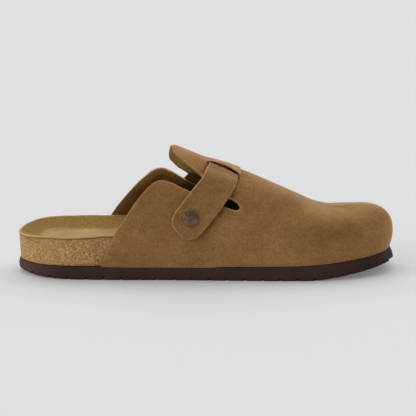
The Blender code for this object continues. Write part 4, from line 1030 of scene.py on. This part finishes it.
def make_upper():
    rows = int(round(110 / STEP))
    down_share = np.linspace(0, 1, rows + 1)
    reach = {s: abs(float(foot_down(s, JOIN))) for s in (-1, 1)}
    join_downs = [-reach[-1] * d for d in down_share[::-1]] + [reach[1] * d for d in down_share[1:]]
    outline = pattern_outline(STEP, min(STEP, 1.2), join_downs)
    inner = []
    stations = np.arange(JOIN - STEP, 62, -STEP)
    for k, s in enumerate(stations):
        for side in (-1, 1):
            run = abs(float(foot_down(side, s)))
            count = rows
            d = (np.arange(0 if side < 0 else 1, count) + (0.5 if k % 2 else 0.0)) / count * run
            inner.append(np.column_stack([np.full(len(d), s), side * d]))
    inner = np.vstack(inner)
    inner = inner[inside_all(inner, outline)]
    inner = inner[edge_distances(inner, outline) > 0.5 * STEP]
    n = len(outline)
    flat = [Vector(p) for p in outline] + [Vector(p) for p in inner.tolist()]
    ring = [(i, (i + 1) % n) for i in range(n)]
    out_points, _, out_faces, _, _, _ = delaunay_2d_cdt(flat, ring, [], 1, 1e-6)
    at = np.array([(p.x, p.y) for p in out_points])
    points = on_last(at[:, 0], at[:, 1], groove=True)
    faces = [tuple(f) for f in out_faces]

    # in front of the join: the same stations on both sides, so the two halves share the ridge
    curve = FOOT[-1]
    start = int(np.argmax(curve[:, 0] > JOIN))
    part = np.vstack([[JOIN, np.interp(JOIN, curve[:, 0], curve[:, 1])], curve[start:]])
    count = int(round(150 / STEP))
    feet = sampled(part, np.linspace(0, 1, count))
    halves = {}
    for side in (-1, 1):
        grid = []
        for k, f in enumerate(feet):
            if side < 0 or k == count - 1:
                foot = foot_point(f)
            else:
                foot = foot_at(1, f[0])
            p, run = rib(side, foot, 300)
            grid.append(sampled(p, down_share))
        halves[side] = np.array(grid)
    base = len(points)
    blocks = [points]
    for side in (-1, 1):
        g = halves[side]
        c, r = g.shape[:2]
        blocks.append(g.reshape(-1, 3))
        for i in range(c - 1):
            for j in range(r - 1):
                quad = (base + i * r + j, base + (i + 1) * r + j, base + (i + 1) * r + j + 1, base + i * r + j + 1)
                faces.append(quad if side < 0 else quad[::-1])
        base += c * r
    obj = mesh_object("upper_suede", np.vstack(blocks), faces, [SUEDE, INNER, EDGE])
    weld(obj, 0.00003)
    bm = bmesh.new()
    bm.from_mesh(obj.data)
    bmesh.ops.recalc_face_normals(bm, faces=bm.faces)
    top = max(bm.faces, key=lambda f: f.calc_center_median().z)
    if top.normal.z < 0:
        bmesh.ops.reverse_faces(bm, faces=bm.faces)
    bm.normal_update()
    flat_at = np.array([v.co[:] for v in bm.verts]) * 1000 + ORIGIN
    rim, painted_light_inside, deep, nap_and_painted_shade, shade = [bm.verts.layers.float.new(key) for key in ("rim", "open", "deep", "brushed_and_painted_shade", "shade")]
    real = [p for p in outline if JOIN - p[0] > 0.1]
    cut = KDTree(len(real))
    for i, (a, d) in enumerate(real):
        cut.insert(Vector((*bare(a, d)[:2], bare(a, d)[2])), i)
    cut.balance()
    foot = FOOT[-1], FOOT[1]
    for v, q in zip(bm.verts, flat_at):
        # painted shade patches on the sides of the upper
        v[nap_and_painted_shade] = painted_shade_on_upper(q)
        if q[0] > JOIN:
            # painted shade on the inner face inside the toe
            v[deep] = 0.8
            # painted highlight on the top of the toe
            v[rim] = 0.20 * math.exp(-((q[0] - 254.0) / 17.0)**2 - ((q[2] - 50.0) / 5.0)**2)
            continue
        _, i, away = cut.find(Vector(q))
        at_foot = q[2] < float(read(SOLE_TOP, "height", q[0])) + 4.0
        # pale band along the cut edges, the raw edges' paler fibres and a painted highlight; then a painted highlight
        # near the top of the instep
        v[rim] = 0.0 if at_foot else float(0.5 * (1 - ramp((away - 0.35) / 1.0)))
        v[rim] = max(v[rim], 0.18 * math.exp(-((q[0] - 127.0) / 12.0)**2 - ((q[2] - 90.0) / 6.0)**2))
        tongue = q[2] > 62 and abs(q[1] - 2.0) < 30 and q[0] < 150
        # painted shade on the inner face toward the front of the quarters, and a darker line along the tongue's edge
        v[deep] = float(0.45 * (1 - ramp((away - 0.3) / 1.2))) if tongue else float(0.8 * ramp((q[0] - 114.0 - 8.0 * ramp((q[2] - 62.0) / 12.0)) / 20.0))
        v[shade] = 0.45 if tongue else 0.0
        # painted light on the inner face: the tongue's underside, and near the cut edges, more so higher up
        v[painted_light_inside] = float(0.9 * (1 - ramp((q[0] - 121.0) / 24.0)) if tongue else (0.2 * (1 - ramp((away - 0.5) / 6.0)) + 0.24 * (1 - ramp((away - 1.0) / 9.0)) * ramp((q[2] - 50.0) / 12.0)) * (0.0 if at_foot else 1.0))
    moved = in_place(creased(flat_at, np.array([v.normal[:] for v in bm.verts])))
    for v, q in zip(bm.verts, moved):
        v.co = q
    print("upper: open edges", sum(1 for e in bm.edges if e.is_boundary), "bad", sum(1 for e in bm.edges if len(e.link_faces) > 2))
    bm.to_mesh(obj.data)
    bm.free()
    wall = obj.modifiers.new("leather", "SOLIDIFY")
    wall.thickness = UPPER_WALL * 0.001
    wall.offset = -1
    wall.use_even_offset = True
    wall.use_quality_normals = True
    wall.material_offset = 1
    wall.material_offset_rim = 2
    soft = obj.modifiers.new("soft_edge", "BEVEL")
    soft.limit_method = "ANGLE"
    soft.angle_limit = math.radians(60)
    soft.width = 0.0006
    soft.segments = 3
    soft.material = 2
    bpy.context.view_layer.update()
    evaluated(obj)
    obj.data.shade_smooth()
    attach(obj, "root")
    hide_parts("upper")
    return obj


# ---------------------------------------------------------------- strap, keeper, rivets
def make_strap():
    rows = len(STRAP["rear_station"])
    at = np.arange(rows, dtype=float)
    fine = np.linspace(0, rows - 1, 130)
    column = {k: follow(at, STRAP[k], fine) for k in STRAP}
    shares = (lambda t: t - 0.11 * np.sin(2 * np.pi * t))(np.linspace(0, 1, 41))
    grid, painted_shade_under_keeper = [], []
    order = [(1, k) for k in range(len(fine) - 1, 0, -1)] + [(-1, k) for k in range(len(fine))]
    for side, k in order:
        station = (1 - shares) * column["rear_station"][k] + shares * column["front_station"][k]
        down = (1 - shares) * column["rear_down"][k] + shares * column["front_down"][k]
        if side > 0:
            down = np.maximum(down, 0.01)
        free = ramp((fine[k] - 1.8) / 1.6) * ramp((9.6 - fine[k]) / 2.0)
        lift = GAP + 0.15 + free * (1.35 * ramp((shares - 0.72) / 0.28) + 0.30 * ramp((0.2 - shares) / 0.2))
        grid.append(on_last(station, side * down, lift))
        # painted shade where the strap turns under the keeper
        fold = 4.9 + 0.262 * (np.clip(station, 143.0, 170.0) - 143.0)
        painted_shade_under_keeper.append(0.95 * ramp((fold - down) / 1.1))
    grid = np.array(grid)
    mid = len(fine) - 1
    for _ in range(60):
        smooth = grid.copy()
        w = slice(mid - 14, mid + 15)
        smooth[w, :, 0] = (grid[mid - 15:mid + 14, :, 0] + 2 * grid[w, :, 0] + grid[mid - 13:mid + 16, :, 0]) / 4
        grid = smooth
    n = len(shares)
    faces = [(r * n + i, r * n + i + 1, (r + 1) * n + i + 1, (r + 1) * n + i) for r in range(len(order) - 1) for i in range(n - 1)]
    obj = mesh_object("strap_suede", grid.reshape(-1, 3), faces, [SUEDE_STRAP, INNER, EDGE, SUEDE_PAINTED_SHADOW])
    obj.data.attributes.new("deep", "FLOAT", "POINT").data.foreach_set("value", np.array(painted_shade_under_keeper).ravel().astype(np.float32))
    # painted shade on the raw edge along the strap's front, then a painted highlight along its edges, strongest on the
    # lit rear edge
    obj.data.attributes.new("shade", "FLOAT", "POINT").data.foreach_set(
        "value", np.tile(0.85 * ramp((shares - 0.6) / 0.3), len(order)).astype(np.float32))
    width = np.linalg.norm(grid[:, -1] - grid[:, 0], axis=1)[:, None]
    ends = np.concatenate([[0], np.cumsum(np.linalg.norm(np.diff(grid[:, n // 2], axis=0), axis=1))])
    ends = np.minimum(ends, ends[-1] - ends)[:, None]
    away = np.minimum(np.minimum(shares, 1 - shares)[None, :] * width, ends)
    obj.data.attributes.new("rim", "FLOAT", "POINT").data.foreach_set(
        "value", (0.66 * (1 - 0.78 * ramp((shares - 0.6) / 0.3))[None, :] * (1 - ramp((away - 0.3) / 0.9))).ravel().astype(np.float32))
    bm = bmesh.new()
    bm.from_mesh(obj.data)
    if max(bm.faces, key=lambda f: f.calc_center_median().z).normal.z < 0:
        bmesh.ops.reverse_faces(bm, faces=bm.faces)
    bm.to_mesh(obj.data)
    bm.free()
    wall = obj.modifiers.new("leather", "SOLIDIFY")
    wall.thickness = (STRAP_WALL + 0.3) * 0.001
    wall.offset = 1
    wall.material_offset = 1
    wall.use_even_offset = True
    wall.use_quality_normals = True
    wall.material_offset_rim = 2
    soft = obj.modifiers.new("soft_edge", "BEVEL")
    soft.limit_method = "ANGLE"
    soft.angle_limit = math.radians(60)
    soft.width = 0.0006
    soft.segments = 3
    soft.material = 2
    bpy.context.view_layer.update()
    evaluated(obj)
    # faces deep in that painted shade take the near-black painted-shadow suede
    under = np.zeros(len(obj.data.vertices), np.float32)
    obj.data.attributes["deep"].data.foreach_get("value", under)
    for face in obj.data.polygons:
        if face.material_index == 0 and min(under[i] for i in face.vertices) > 0.55:
            face.material_index = 3
    obj.data.shade_smooth()
    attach(obj, "root")
    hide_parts("strap")


def make_keeper():
    stations = np.concatenate([np.linspace(140.5, 148.5, 13), np.linspace(148.5, 168.6, 26)[1:]])
    shares = np.linspace(-1, 1, 33)
    rings = []
    for s in stations:
        half = float(read(KEEPER, "half", s))
        base, normal = bare(s, half * shares), bare_normal(s, half * shares)
        upper = base + normal * float(read(KEEPER, "over", s))
        lower = base + normal * float(read(KEEPER, "under", s))
        rings.append(np.vstack([upper, lower[::-1]]))
    count = len(rings[0])
    faces = ring_faces(len(rings), count)
    half = len(shares)
    for start in (0, (len(rings) - 1) * count):
        faces += [(start + i, start + i + 1, start + count - i - 2, start + count - i - 1) for i in range(half - 1)]
    obj = mesh_object("keeper_suede", np.vstack(rings), faces, [SUEDE_KEEPER_PAINTED_LIGHT, EDGE])
    face_outwards(obj)
    soft = obj.modifiers.new("soft_edge", "BEVEL")
    soft.limit_method = "ANGLE"
    soft.angle_limit = math.radians(50)
    soft.width = 0.00045
    soft.segments = 3
    soft.material = 1
    bpy.context.view_layer.update()
    evaluated(obj)
    obj.data.shade_smooth()
    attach(obj, "root")
    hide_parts("keeper")


def make_rivet(name, side):
    station, down = RIVET_PLACE
    seat = on_last(station, side * down)
    axis = bare_normal(station, side * down)
    low = GAP + 0.15 + STRAP_WALL + 0.3
    high = low + 2.15
    dome = [(RIVET_HEAD * t, high + 0.1 - 1.45 * t**2.2) for t in np.linspace(0, 0.93, 14)]
    washer = -(UPPER_WALL + 0.75)
    profile = dome + [(RIVET_HEAD * 0.975, low + 0.82), (RIVET_HEAD, low + 0.5), (RIVET_HEAD * 0.985, low + 0.15), (RIVET_HEAD * 0.94, low),
                      (RIVET_SHANK, low), (RIVET_SHANK, washer), (RIVET_WASHER, washer), (RIVET_WASHER + 0.1, washer - 0.3),
                      (RIVET_WASHER, washer - 0.6), (RIVET_WASHER - 0.5, washer - 0.85), (RIVET_SHANK + 0.3, washer - 0.85),
                      (RIVET_SHANK - 0.2, washer - 0.55), (0, washer - 0.5)]
    steps = 72
    turn = Vector((0, 0, 1)).rotation_difference(Vector(axis)).to_matrix()
    ring = np.linspace(0, 2 * np.pi, steps, endpoint=False)
    points, faces = [], []
    for r, z in profile:
        if r < 1e-6:
            points.append([(0, 0, z)])
        else:
            points.append([(r * math.cos(a), r * math.sin(a), z) for a in ring])
    flat = [p for row in points for p in row]
    starts = np.cumsum([0] + [len(row) for row in points])
    for k in range(len(points) - 1):
        a, b = starts[k], starts[k + 1]
        for i in range(steps):
            j = (i + 1) % steps
            if len(points[k]) == 1:
                faces.append((a, b + i, b + j))
            elif len(points[k + 1]) == 1:
                faces.append((a + i, b, a + j))
            else:
                faces.append((a + i, b + i, b + j, a + j))
    turned = np.array([np.array(turn @ Vector(p)) + seat for p in flat])
    obj = mesh_object(name + "_cap", turned, faces, COPPER)
    face_outwards(obj)
    obj.data.shade_smooth()
    obj.data.set_sharp_from_angle(angle=math.radians(45))
    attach(obj, "root")
    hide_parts(name)


make_outsole()
make_footbed_and_liner()
make_upper()
make_strap()
make_keeper()
make_rivet("rivet_medial", -1)
make_rivet("rivet_lateral", 1)

# ---------------------------------------------------------------- floor, light, camera
floor_look = Look("floor_paper", Roughness=0.85, Specular_IOR_Level=0.1)
floor_look.shader.inputs["Base Color"].default_value = (0.612, 0.615, 0.622, 1)
floor_look.shader.inputs["Emission Color"].default_value = (0.985, 0.995, 1.0, 1)
floor_look.shader.inputs["Emission Strength"].default_value = 0.15
mesh = bpy.data.meshes.new("floor")
mesh.from_pydata([(-9, -9, -0.0001), (9, -9, -0.0001), (9, 9, -0.0001), (-9, 9, -0.0001)], [], [(0, 1, 2, 3)])
mesh.materials.append(floor_look.material)
floor = bpy.data.objects.new("floor", mesh)
bpy.context.scene.collection.objects.link(floor)

world = bpy.data.worlds.new("studio")
bpy.context.scene.world = world
world.use_nodes = True
world.node_tree.nodes["Background"].inputs["Color"].default_value = (0.96, 0.98, 1.0, 1)
way = world.node_tree.nodes.new("ShaderNodeTexCoord")
axes = world.node_tree.nodes.new("ShaderNodeSeparateXYZ")
fall = world.node_tree.nodes.new("ShaderNodeMapRange")
for key, value in (("From Min", -1.0), ("From Max", 1.0), ("To Min", 0.56), ("To Max", 0.21)):
    fall.inputs[key].default_value = value
world.node_tree.links.new(way.outputs["Generated"], axes.inputs[0])
world.node_tree.links.new(axes.outputs["X"], fall.inputs["Value"])
world.node_tree.links.new(fall.outputs["Result"], world.node_tree.nodes["Background"].inputs["Strength"])

def far_light(name, heading, strength, spread, colour):
    light = bpy.data.lights.new(name, "SUN")
    light.energy = strength
    light.angle = math.radians(spread)
    light.color = colour
    obj = bpy.data.objects.new(name, light)
    obj.rotation_euler = Vector(heading).to_track_quat("-Z", "Y").to_euler()
    bpy.context.scene.collection.objects.link(obj)


far_light("overhead", (0.0, -0.70, -1.0), 1.54, 70.0, (1.0, 0.99, 0.98))
far_light("from_left", (1.0, 0.36, -0.50), 0.60, 22.0, (1.0, 0.985, 0.965))
far_light("from_right", (-1.0, -0.42, -0.55), 0.72, 45.0, (1.0, 0.985, 0.965))

YAW, TILT, SCALE = math.radians(2.0), math.radians(13.0), 0.76
DISTANCE = 3.2
target = Vector(in_place((144.3, 0.0, 46.5)))
forward = Vector((math.cos(TILT) * math.sin(YAW), math.cos(TILT) * math.cos(YAW), -math.sin(TILT)))
camera_data = bpy.data.cameras.new("camera")
camera_data.sensor_width = 36.0
camera_data.lens = 36.0 * DISTANCE / (416 * SCALE * 0.001)
camera_data.clip_start = 0.1
camera_data.clip_end = 60
camera = bpy.data.objects.new("camera", camera_data)
camera.location = target - forward * DISTANCE
camera.rotation_euler = forward.to_track_quat("-Z", "Y").to_euler()
bpy.context.scene.collection.objects.link(camera)
bpy.context.scene.camera = camera
bpy.context.scene.view_settings.view_transform = "Standard"
bpy.context.scene.view_settings.look = "None"
